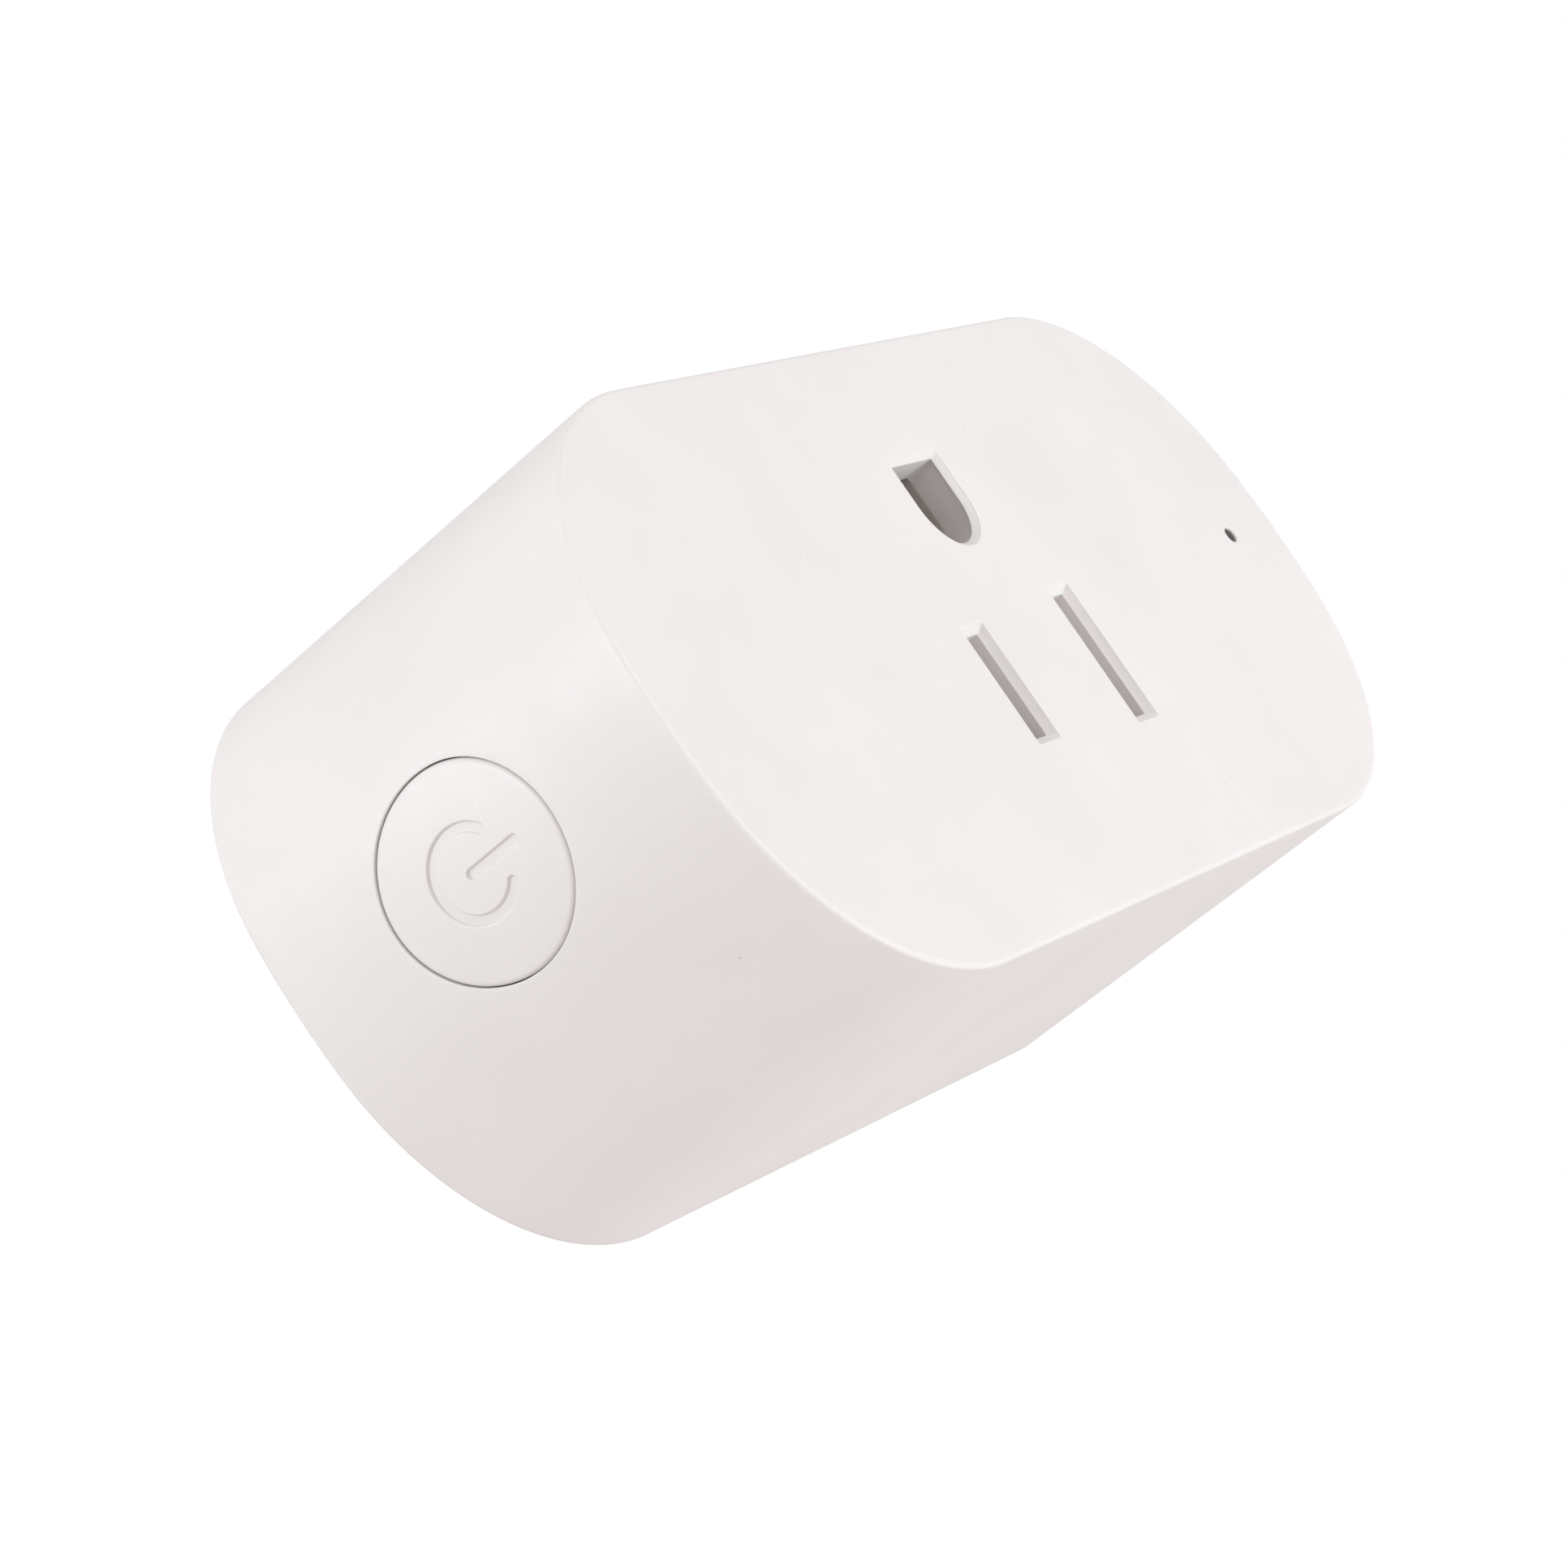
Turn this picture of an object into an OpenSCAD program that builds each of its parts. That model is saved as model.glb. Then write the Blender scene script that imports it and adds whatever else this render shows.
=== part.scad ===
// Smart plug: a wall plug at the back, one switched receptacle at the front,
// a round power button on one end and a status light near the other end.
//
// Frame: origin at the centre of the rear face, where the plug meets the wall.
// +X points to the button end, -Y to the receptacle face, +Z up. All sizes in mm.
// Every part is drawn "face up", with local z the height above the wall, and
// stand() turns it into that frame.

/* [Body] */
// Width of the body over its rounded ends
body_w = 81.8; // [80:0.1:86]
// Height of the body over its flat top and bottom
body_h = 37.8; // [37.5:0.1:40]
// Depth of the body from the wall to the receptacle face
body_d = 29; // [29:0.1:31]
// Radius of the four corner arcs of the outline
corner_radius = 16.4; // [15:0.1:17]
// Radius of the shallow arc that joins two corners across each end
end_radius = 40.5; // [36:0.5:44]
// Thickness of the side wall
wall = 2; // [1.8:0.1:2.2]
// Thickness of the receptacle face
face_t = 2.4; // [2.2:0.1:2.6]

/* [Rear cover] */
// Thickness of the rear cover
cover_t = 2.2; // [2:0.1:2.3]
// Distance from the outside of the body to the rebate that holds the cover
cover_inset = 1.1; // [0.9:0.1:1.2]
// Gap around the cover in its rebate
cover_gap = 0.05; // [0.02:0.01:0.1]

/* [Receptacle and plug] */
// Sideways place of the receptacle, towards the status light when negative
receptacle_x = -1.3; // [-2:0.1:-1]
// Height of the blade line above the middle of the body
blade_y = 4.2; // [4:0.1:4.4]
// Spacing of the two blades
blade_pitch = 12.7; // [12.7]
// Distance from the blade line down to the ground pin
ground_drop = 11.9; // [11.9]
// Thickness of a blade
blade_t = 1.5; // [1.4:0.05:1.6]
// Width of the line blade
line_blade_w = 6.35; // [6.2:0.05:6.5]
// Width of the neutral blade
neutral_blade_w = 7.9; // [7.8:0.05:8.1]
// Length of the blades beyond the wall
blade_len = 17.5; // [16:0.1:18.2]
// Radius of the ground pin
ground_pin_r = 2.375; // [2.35:0.005:2.4]
// Length of the ground pin beyond the wall
ground_pin_len = 20.6; // [20:0.1:21.5]
// Length of the line slot at its throat
line_slot_len = 7.3; // [7:0.1:7.6]
// Length of the neutral slot at its throat
neutral_slot_len = 8.9; // [8.6:0.1:9.1]
// Width of both slots at the throat
slot_w = 2.3; // [2:0.1:2.4]
// Depth of the sloping lead-in of a slot
lead_in = 0.8; // [0.5:0.1:1]

/* [Button and light] */
// Radius of the power button
button_r = 5.95; // [5.8:0.05:6]
// Gap around the power button
button_gap = 0.22; // [0.15:0.01:0.3]
// Distance from the receptacle face to the middle of the button
button_from_face = 14.7; // [14.5:0.1:14.9]
// Travel of the button
button_travel = 0.5; // [0.3:0.1:0.6]
// Outer radius of the power symbol's ring
symbol_r = 2.8; // [2.6:0.1:3]
// Width of the power symbol's grooves
symbol_w = 0.6; // [0.5:0.05:0.7]
// Distance from the middle of the body to the status light
light_x = 34.1; // [33.5:0.1:34.3]
// Radius of the status light's hole
light_r = 0.55; // [0.5:0.05:0.6]

/* [Circuit board] */
// Height of the main board's rear surface above the wall
board_z = 6.4; // [6.4:0.1:6.6]
// Thickness of the main board
board_t = 1.6; // [1.6]
// Sideways place of the relay
relay_x = 19.5; // [19.5:0.1:19.6]

/* [Hidden] */
$fn = 64;
eps = 0.01;
fit = 0.05;                                  // gap between parts that are fixed together
slack = 0.15;                                // gap between parts that slide
line_x = receptacle_x + blade_pitch / 2;
neutral_x = receptacle_x - blade_pitch / 2;
ground_y = blade_y - ground_drop;
face_in = body_d - face_t;                   // inner surface of the receptacle face
board_top = board_z + board_t;
button_z = body_d - button_from_face;
side_in = body_w / 2 - wall;                 // inner surface of the end wall, on the middle line

lead_side = 0.35;                            // how far a lead-in opens to each side
lead_end = 0.5;                              // how far a lead-in opens at each end
ground_hole_r = 2.75;                        // round half of the ground opening
ground_flat = 3.2;                           // from its centre to its flat side
ground_lead = 0.3;                           // how far its lead-in opens all round

hook_x = 17;                                 // the rear cover's four snap hooks
hook_w = 6;
hook_z = 4.4;                                // height of a hook's barb
hook_t = 1.1;
barb = 0.7;

boss_x = 26.5;                               // posts that take the board screws
boss_y = 13.2;
boss_r = 2.4;
screw_r = 0.98;
screw_len = 7;
screw_head_r = 1.9;
screw_head_t = 1.3;

symbol_depth = 0.2;                          // how deep the power symbol is sunk
symbol_gap = 42;                             // half angle of the gap in its ring
light_y = -0.5;                              // height of the status light on the face
flange_r = 0.9;                              // how far the button's rim stands out behind the wall
flange_t = 0.9;
stem_r = 1.6;                                // stem of the button, and lens of the light pipe
pipe_r = 1.3;
sleeve_r = 2.4;                              // sleeve round the light pipe

foot_t = 1.2;                                // blade foot that bears on the rear cover
foot_x = 2.2;                                // half the foot's width
foot_reach = 1;                              // how far the foot stands out past the blade
blade_hole_r = 1.6;
tip_bevel = 1.2;
collar_t = foot_t + 0.6;                     // collars on the rear cover round the feet
collar_wall = 1.2;
pin_shoulder = 0.3;                          // ground pin's seat in the cover
pin_head_r = 3.8;
shank_r = 1.45;                              // its shank, riveted into the ground contact
rivet_r = 2;
sleeve_top = 14;                             // ends of the ground contact above the board
sleeve_base = 4.4;
sleeve_floor = 5.2;
tab_t = 0.8;                                 // solder tabs of blades and contacts
tab_w = 3;
blade_tab_y = blade_y + 1.9;
contact_tab_y = blade_y - 2.2;
strap_t = 0.8;

shutter_t = 2.2;
shutter_travel = 3;
shutter_x0 = neutral_x - 5.7;
shutter_x1 = line_x + 2.2;
shutter_h = 11.4;
shutter_z = face_in - shutter_t - slack;     // rear surface of the shutter
window_w = 2.6;
window_half = 4.7;
slope_depth = 1.4;
spring_x1 = 12;
spring_r = 0.95;
spring_wire = 0.14;
spring_turns = 6;
spring_steps = 12;
spring_sides = 6;
leaf_t = 0.5;                                // sheet of the blade contacts

carrier_x0 = -15;
carrier_x1 = 13.2;
carrier_y0 = -13.2;
carrier_y1 = 11.8;
frame_t = 1.2;                               // frame in the housing that locates the carrier
frame_h = 3;

control_x = 28.6;                            // control board stands at the button end
control_t = 1;
header_x = 27.5;
header_pins = 6;
header_pitch = 2.54;
switch_h = 3.2;
plunger_r = 1.7;
plunger_top = 35.05;

relay_half_x = 5.1;
relay_half_y = 10.2;
relay_skin = 0.7;
relay_h = 15.9;
coil_pin_x = 3.6;
pin_y = relay_half_y - 0.7;                  // places of the relay's two contact pins
pin_out_y = -9.2;
leg_end = board_z - 1.4;                     // how far soldered legs reach through the board
relay_floor = board_top + 1.5;
coil_y = 4.6;
armature_z = board_top + 12.9;
contact_y = -8;

white = [0.94, 0.93, 0.92];

// ---- shared shapes ----

module stand() rotate([90, 0, 0]) children();

// A box given by its low and high corners
module box(low, high) translate(low) cube(high - low);

// A cylinder lying along x between two places
module rod_x(x0, x1, y, z, r) translate([x0, y, z]) rotate([0, 90, 0]) cylinder(h = x1 - x0, r = r);

function arc(x, y, r, from, to, steps) =
    [for (i = [0:steps]) let (a = from + (to - from) * i / steps) [x + r * cos(a), y + r * sin(a)]];

function tail(list) = [for (i = [1:len(list) - 1]) list[i]];

function turned(points) = [for (p = points) [-p[0], -p[1]]];

// Outline of the body moved inwards by inset: a shallow arc across each end runs
// smoothly into the corner arcs, and those into the straight top and bottom.
function outline_points(inset) =
    let (r_end = end_radius - inset,
         r_corner = corner_radius - inset,
         end_x = body_w / 2 - end_radius,
         corner_y = body_h / 2 - corner_radius,
         reach = sqrt(pow(end_radius - corner_radius, 2) - pow(corner_y, 2)),
         meet = atan2(corner_y, reach),
         right = concat(arc(end_x + reach, -corner_y, r_corner, -90, -meet, 18),
                        tail(arc(end_x, 0, r_end, -meet, meet, 4)),
                        tail(arc(end_x + reach, corner_y, r_corner, meet, 90, 18))))
    concat(right, turned(right));

module outline(inset = 0) polygon(outline_points(inset));

// Four copies, one in each quarter of the body
module quarters(x, y) for (sx = [-1, 1], sy = [-1, 1]) translate([sx * x, sy * y, 0]) children();

// ---- housing ----

// A blade slot through the face: a plain throat below a lead-in that slopes all round
module slot_cut(x, length) {
    half_w = slot_w / 2;
    half_l = length / 2;
    translate([x, blade_y, body_d]) {
        box([-half_w, -half_l, -face_t - eps], [half_w, half_l, eps]);
        intersection() {
            rotate([90, 0, 0]) linear_extrude(2 * length, center = true)
                polygon([[-half_w, -lead_in], [half_w, -lead_in], [half_w + lead_side, 0],
                         [half_w + lead_side, 1], [-half_w - lead_side, 1], [-half_w - lead_side, 0]]);
            rotate([90, 0, 90]) linear_extrude(4 * slot_w, center = true)
                polygon([[-half_l, -lead_in], [half_l, -lead_in], [half_l + lead_end, 0],
                         [half_l + lead_end, 1], [-half_l - lead_end, 1], [-half_l - lead_end, 0]]);
        }
    }
}

// The ground opening: round towards the blades, flat on the far side
module ground_shape(grow = 0) {
    r = ground_hole_r + grow;
    polygon(concat(arc(0, 0, r, 0, 180, 24), [[-r, -ground_flat - grow], [r, -ground_flat - grow]]));
}

module ground_cut() translate([receptacle_x, ground_y, 0]) {
    translate([0, 0, face_in - eps]) linear_extrude(face_t + 1) ground_shape();
    translate([0, 0, body_d - lead_in / 2]) linear_extrude(lead_in) ground_shape(ground_lead);
}

module front_housing() color(white) stand() difference() {
    union() {
        difference() {
            linear_extrude(body_d) outline();
            translate([0, 0, -eps]) linear_extrude(face_in + eps) outline(wall);
            translate([0, 0, -eps]) linear_extrude(cover_t + eps) outline(cover_inset);
        }
        quarters(boss_x, boss_y) translate([0, 0, board_top])
            cylinder(h = face_in - board_top + 1, r = boss_r);
        // sleeve that holds the light pipe
        translate([-light_x, light_y, face_in - 6]) cylinder(h = 7, r = sleeve_r);
        // frame that locates the contact carrier
        difference() {
            box([carrier_x0 - frame_t, carrier_y0 - frame_t, face_in - frame_h],
                [carrier_x1 + frame_t - 0.75, carrier_y1 + frame_t, face_in + 1]);
            box([carrier_x0 - fit, carrier_y0 - fit, face_in - frame_h - 1],
                [carrier_x1 + fit, carrier_y1 + fit, face_in]);
        }
    }
    slot_cut(line_x, line_slot_len);
    slot_cut(neutral_x, neutral_slot_len);
    ground_cut();
    rod_x(side_in - 6, body_w, 0, button_z, button_r + button_gap);
    translate([-light_x, light_y, face_in - 7]) cylinder(h = 8, r = pipe_r + fit);
    translate([-light_x, light_y, face_in]) cylinder(h = face_t + 1, r = light_r);
    quarters(boss_x, boss_y) translate([0, 0, board_top - eps]) cylinder(h = screw_len + 0.5, r = screw_r + 0.04);
    // pockets for the rear cover's four hooks
    for (sx = [-1, 1], sy = [-1, 1]) translate([sx * hook_x, sy * (body_h / 2 - wall), hook_z])
        box([-hook_w / 2 - 0.2, -0.8, 0], [hook_w / 2 + 0.2, 0.8, 1.3]);
}

// One snap hook, its barb towards +y
module hook() {
    y1 = body_h / 2 - wall - 0.1;
    box([-hook_w / 2, y1 - hook_t, cover_t - eps], [hook_w / 2, y1, hook_z + hook_t]);
    translate([hook_w / 2, y1, hook_z + 0.1]) rotate([0, -90, 0])
        linear_extrude(hook_w) polygon([[0, -eps], [0, barb], [0.3, barb], [1, 0], [1, -eps]]);
}

module rear_cover() color(white) stand() difference() {
    union() {
        linear_extrude(cover_t) outline(cover_inset + cover_gap);
        for (sx = [-1, 1], turn = [0, 180]) rotate([0, 0, turn]) translate([sx * hook_x, 0, 0]) hook();
        // collars that keep the blade feet in line
        for (b = [[line_x, line_blade_w], [neutral_x, neutral_blade_w]])
            box([b[0] - foot_x - collar_wall, blade_y - b[1] / 2 - foot_reach - collar_wall, cover_t - eps],
                [b[0] + foot_x + collar_wall, blade_y + b[1] / 2 + foot_reach + collar_wall, cover_t + collar_t]);
        translate([receptacle_x, ground_y, cover_t - eps]) cylinder(h = collar_t, r = pin_head_r + collar_wall);
    }
    for (b = [[line_x, line_blade_w], [neutral_x, neutral_blade_w]]) {
        box([b[0] - blade_t / 2 - fit, blade_y - b[1] / 2 - fit, -eps],
            [b[0] + blade_t / 2 + fit, blade_y + b[1] / 2 + fit, 2 * cover_t]);
        box([b[0] - foot_x - fit, blade_y - b[1] / 2 - foot_reach - fit, cover_t],
            [b[0] + foot_x + fit, blade_y + b[1] / 2 + foot_reach + fit, 3 * cover_t]);
    }
    translate([receptacle_x, ground_y, -eps]) cylinder(h = cover_t + 1, r = ground_pin_r + pin_shoulder + fit);
    translate([receptacle_x, ground_y, cover_t]) cylinder(h = 2 * foot_t, r = pin_head_r + fit);
}

// ---- button and light ----

// The power symbol in its own plane: an open ring, and a bar through the gap
module power_symbol() {
    mid_r = symbol_r - symbol_w / 2;
    difference() {
        circle(symbol_r);
        circle(symbol_r - symbol_w);
        polygon([[0, 0], 2 * symbol_r * [cos(symbol_gap), sin(symbol_gap)], [3 * symbol_r, 0],
                 2 * symbol_r * [cos(symbol_gap), -sin(symbol_gap)]]);
    }
    for (s = [-1, 1]) translate(mid_r * [cos(symbol_gap), s * sin(symbol_gap)]) circle(symbol_w / 2);
    translate([0, -symbol_w / 2]) square([symbol_r + 0.5, symbol_w]);
    for (x = [0, symbol_r + 0.5]) translate([x, 0]) circle(symbol_w / 2);
}

module power_button() color(white) stand() difference() {
    union() {
        intersection() {
            rod_x(side_in - 1.5, body_w, 0, button_z, button_r);
            linear_extrude(body_d) outline();
        }
        rod_x(side_in - 1 - flange_t, side_in - 1, 0, button_z, button_r + flange_r);
        rod_x(plunger_top + fit, side_in - 1.5, 0, button_z, stem_r);
    }
    translate([body_w / 2 - symbol_depth, 0, button_z]) rotate([0, -90, 0]) mirror([0, 0, 1])
        linear_extrude(2) power_symbol();
}

module light_pipe() color([0.9, 0.93, 0.95]) stand() translate([-light_x, light_y, 0]) {
    translate([0, 0, board_top + 1.2]) cylinder(h = 3, r = stem_r);
    translate([0, 0, board_top + 4]) cylinder(h = face_in + 0.8 - board_top - 4, r = pipe_r);
    translate([0, 0, face_in + 0.5]) cylinder(h = face_t - 0.6, r = light_r - fit);
}

// ---- receptacle ----

module contact_carrier() color([0.85, 0.84, 0.8]) stand() difference() {
    box([carrier_x0, carrier_y0, board_top], [carrier_x1, carrier_y1, face_in]);
    // track of the shutter and seat of its spring
    box([shutter_x0 - slack, blade_y - shutter_h / 2 - slack, shutter_z - slack],
        [shutter_x1 + shutter_travel + slack, blade_y + shutter_h / 2 + slack, body_d]);
    box([shutter_x1, blade_y - 1.6, shutter_z - slack], [spring_x1, blade_y + 1.6, body_d]);
    // passages and pockets of the two blade contacts
    for (x = [line_x, neutral_x]) {
        box([x - slot_w / 2, blade_y - 4.6, board_top + 2], [x + slot_w / 2, blade_y + 4.6, body_d]);
        box([x - 2.3, blade_y - 4.6, board_top - eps], [x + 2.3, blade_y + 4.6, shutter_z - 1.2]);
    }
    // passage and pocket of the ground contact
    translate([receptacle_x, ground_y, 0]) {
        translate([0, 0, board_top - eps]) cylinder(h = 15, r = 3.3);
        translate([0, 0, board_top]) linear_extrude(body_d) ground_shape(0.1);
    }
}

// A sliding cover with one window beside each slot. A blade pushed into a slot
// presses on a slope beside the window and drives the shutter towards +x.
module safety_shutter() color([0.86, 0.8, 0.79]) stand() difference() {
    box([shutter_x0, blade_y - shutter_h / 2, shutter_z],
        [shutter_x1, blade_y + shutter_h / 2, shutter_z + shutter_t]);
    for (x = [line_x, neutral_x]) {
        translate([x - shutter_travel - window_w / 2, blade_y - window_half, shutter_z - 1])
            cube([window_w, 2 * window_half, shutter_t + 2]);
        translate([x, blade_y - window_half, shutter_z + shutter_t]) rotate([90, 0, 180]) mirror([1, 0, 0])
            linear_extrude(2 * window_half)
            polygon([[window_w / 2 - shutter_travel - eps, -slope_depth], [1.2, 0], [1.2, 1],
                     [window_w / 2 - shutter_travel - eps, 1]]);
    }
}

// Places on the spring's helix, and the tube swept along them
function spring_point(i) = let (a = 360 * i / spring_steps,
    pitch = (spring_x1 - shutter_x1 - 2 * slack - 2 * spring_wire) / spring_turns)
    [shutter_x1 + slack + spring_wire + pitch * i / spring_steps,
     blade_y + spring_r * cos(a), shutter_z + 1.15 + spring_r * sin(a)];

module shutter_spring() color("silver") stand() {
    last = spring_turns * spring_steps;
    sides = spring_sides;
    points = [for (i = [0:last], k = [0:sides - 1])
        let (a = 360 * i / spring_steps, b = 360 * k / sides, p = spring_point(i),
             r = spring_wire * cos(b))
        [p[0] + spring_wire * sin(b), p[1] + r * cos(a), p[2] + r * sin(a)]];
    walls = [for (i = [0:last - 1], k = [0:sides - 1])
        let (n = (k + 1) % sides)
        [i * sides + k, (i + 1) * sides + k, (i + 1) * sides + n, i * sides + n]];
    ends = [[for (k = [0:sides - 1]) k], [for (k = [sides - 1:-1:0]) last * sides + k]];
    polyhedron(points, concat(ends, walls), convexity = 8);
}

// One leaf of a contact: a strip that leans in to grip the blade and flares at its mouth
module leaf() {
    path = [[1.35, board_top + 2.4], [1.35, board_top + 6], [0.85, board_top + 11.6], [1.5, board_top + 14]];
    polygon(concat([for (p = path) [p[0] - leaf_t / 2, p[1]]],
                   [for (i = [len(path) - 1:-1:0]) [path[i][0] + leaf_t / 2, path[i][1]]]));
}

module blade_contact(x, width) translate([x, blade_y, 0]) {
    rotate([90, 0, 0]) linear_extrude(width, center = true) {
        leaf();
        mirror([1, 0]) leaf();
        translate([-1.6, board_top + 2.4]) square([3.2, leaf_t]);
    }
    translate([-tab_t / 2, contact_tab_y - blade_y - tab_w / 2, board_z - 1.2])
        cube([tab_t, tab_w, board_t + 1.2 + 2.5]);
}

module line_contact() color([0.8, 0.62, 0.35]) stand() blade_contact(line_x, 6.4);

module neutral_contact() color([0.8, 0.62, 0.35]) stand() blade_contact(neutral_x, 8);

// A split sleeve that grips the ground pin of the plug pushed in
module ground_contact() color([0.8, 0.62, 0.35]) stand() translate([receptacle_x, ground_y, 0])
    difference() {
        translate([0, 0, board_top + sleeve_base]) cylinder(h = sleeve_top - sleeve_base, r = 2.9);
        translate([0, 0, board_top + 6]) cylinder(h = 10, r = ground_pin_r + 0.025);
        translate([0, 0, board_top + sleeve_floor]) cylinder(h = 3, r = rivet_r + 0.1);
        translate([0, 0, board_top + 4]) cylinder(h = 3, r = shank_r + fit);
        box([-0.9, -4, board_top + 6.4], [0.9, 0, board_top + 15]);
    }

// ---- plug ----

module blade(x, width) translate([x, blade_y, 0]) {
    half = width / 2;
    difference() {
        intersection() {
            rotate([90, 0, 90]) linear_extrude(blade_t, center = true)
                polygon([[-half, cover_t], [-half, tip_bevel - blade_len], [tip_bevel - half, -blade_len],
                         [half - tip_bevel, -blade_len], [half, tip_bevel - blade_len], [half, cover_t]]);
            rotate([90, 0, 0]) linear_extrude(width, center = true)
                polygon([[-blade_t / 2, cover_t], [-blade_t / 2, 1.5 - blade_len], [-0.3, -blade_len],
                         [0.3, -blade_len], [blade_t / 2, 1.5 - blade_len], [blade_t / 2, cover_t]]);
        }
        rod_x(-blade_t, blade_t, 0, 5.6 - blade_len, blade_hole_r);
    }
    box([-foot_x, -half - foot_reach, cover_t], [foot_x, half + foot_reach, cover_t + foot_t]);
    translate([-tab_t / 2, blade_tab_y - blade_y - tab_w / 2, cover_t + foot_t - eps])
        cube([tab_t, tab_w, board_top + 1 - cover_t - foot_t]);
}

module line_blade() color([0.83, 0.81, 0.74]) stand() blade(line_x, line_blade_w);

module neutral_blade() color([0.83, 0.81, 0.74]) stand() blade(neutral_x, neutral_blade_w);

// Ground pin with a round nose, a seat in the cover, a head, and a shank that is
// riveted into the back of the ground contact
module ground_pin() color([0.83, 0.81, 0.74]) stand() translate([receptacle_x, ground_y, 0]) {
    rotate_extrude() polygon(concat([[0, -ground_pin_len]],
        tail(arc(0, ground_pin_r - ground_pin_len, ground_pin_r, -90, 0, 12)),
        [[ground_pin_r, 0], [ground_pin_r + pin_shoulder, 0], [ground_pin_r + pin_shoulder, cover_t],
         [pin_head_r, cover_t], [pin_head_r, cover_t + foot_t], [shank_r, cover_t + foot_t],
         [shank_r, board_top + sleeve_floor], [rivet_r, board_top + sleeve_floor],
         [rivet_r, board_top + 5.9], [0, board_top + 5.9]]));
}

// ---- copper straps on the rear of the board ----

module strap(x0, y0, x1, y1) box([x0, y0, board_z - strap_t], [x1, y1, board_z]);

module tab_cut(x, y) translate([x - tab_t / 2 - fit, y - tab_w / 2 - fit, 0])
    cube([tab_t + 2 * fit, tab_w + 2 * fit, body_d / 2]);

module neutral_strap() color([0.75, 0.45, 0.3]) stand() difference() {
    strap(neutral_x - 2, contact_tab_y - 2.4, neutral_x + 2, blade_tab_y + 2.4);
    tab_cut(neutral_x, blade_tab_y);
    tab_cut(neutral_x, contact_tab_y);
}

module line_input_strap() color([0.75, 0.45, 0.3]) stand() difference() {
    union() {
        strap(line_x - 2, blade_tab_y - 1.9, relay_x + 2, blade_tab_y + 1.9);
        strap(relay_x - 2, blade_tab_y, relay_x + 2, relay_half_y + 1.2);
    }
    tab_cut(line_x, blade_tab_y);
    relay_pin_cut(pin_y);
}

module line_output_strap() color([0.75, 0.45, 0.3]) stand() difference() {
    union() {
        strap(line_x - 2, contact_tab_y - 1.9, 14.5, contact_tab_y + 1.9);
        strap(10.5, -11, 14.5, contact_tab_y);
        strap(10.5, -11, relay_x + 2, -7.4);
    }
    tab_cut(line_x, contact_tab_y);
    relay_pin_cut(pin_out_y);
}

// ---- main board ----

// Opening for one of the relay's contact pins
module relay_pin_cut(y) translate([relay_x - 1.2, y - 0.5, 0]) cube([2.4, 1, body_d / 2]);

function header_y(i) = (i - (header_pins - 1) / 2) * header_pitch;

module main_board() color([0.12, 0.35, 0.2]) stand() difference() {
    translate([0, 0, board_z]) linear_extrude(board_t) intersection() {
        outline(wall + 0.5);
        translate([-body_w / 2, -body_h / 2]) square([body_w / 2 + 30.4, body_h]);
    }
    translate([receptacle_x, ground_y, 0]) cylinder(h = body_d / 2, r = 2.2);
    quarters(boss_x, boss_y) cylinder(h = body_d / 2, r = 1.2);
    for (x = [line_x, neutral_x], y = [blade_tab_y, contact_tab_y]) tab_cut(x, y);
    for (y = [pin_y, pin_out_y]) relay_pin_cut(y);
    for (sx = [-1, 1]) translate([relay_x + sx * coil_pin_x, 1, 0]) cylinder(h = body_d / 2, r = 0.45);
    for (i = [0:header_pins - 1])
        translate([header_x - 0.35, header_y(i) - 0.35, 0]) cube([0.7, 0.7, body_d / 2]);
}

module board_screws() color("silver") stand() quarters(boss_x, boss_y) {
    difference() {
        translate([0, 0, board_z - screw_head_t]) cylinder(h = screw_head_t, r = screw_head_r);
        for (turn = [0, 90]) rotate([0, 0, turn])
            translate([-1.1, -0.2, board_z - screw_head_t - 0.1]) cube([2.2, 0.4, 0.8]);
    }
    translate([0, 0, board_z - eps]) cylinder(h = screw_len, r = screw_r);
}

module board_pieces(places, size) for (p = places) translate([p[0] - size[0] / 2, p[1] - size[1] / 2, p[2]])
    cube(size);

module status_led() color([0.95, 0.92, 0.7]) stand()
    board_pieces([[-light_x, light_y, board_top]], [2, 1.25, 0.8]);

module bridge_rectifier() color([0.12, 0.12, 0.13]) stand()
    board_pieces([[-33.6, -6.6, board_top]], [4.6, 3.8, 2.4]);

module supply_chip() color([0.12, 0.12, 0.13]) stand()
    board_pieces([[-22, 0, board_z - 1.6]], [4.9, 3.9, 1.6]);

module driver_transistor() color([0.12, 0.12, 0.13]) stand()
    board_pieces([[relay_x, -2.5, board_z - 1.1]], [2.9, 1.3, 1.1]);

module chip_resistors() color([0.2, 0.2, 0.22]) stand()
    board_pieces([for (i = [0:3], j = [0:1]) [-28 - 2.6 * j, -4.2 + 2.8 * i, board_z - 0.55]],
                 [2, 1.25, 0.55]);

// A can with a rolled-in groove above its base and a slight step at its rim
module can(r, h) rotate_extrude() polygon([[0, 0], [r - 0.2, 0], [r, 0.2], [r, 1.4], [r - 0.4, 1.8],
    [r, 2.2], [r, h - 0.3], [r - 0.3, h], [0, h]]);

module bulk_capacitors() color([0.15, 0.2, 0.3]) stand()
    for (s = [-1, 1]) translate([-20.4, s * 9.2, board_top]) can(4, 12);

module output_capacitor() color([0.15, 0.2, 0.3]) stand()
    translate([-27.6, -7, board_top]) can(3.15, 11);

module film_capacitor() color([0.85, 0.7, 0.2]) stand()
    board_pieces([[-20.4, 0, board_top]], [5, 9.8, 11]);

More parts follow.
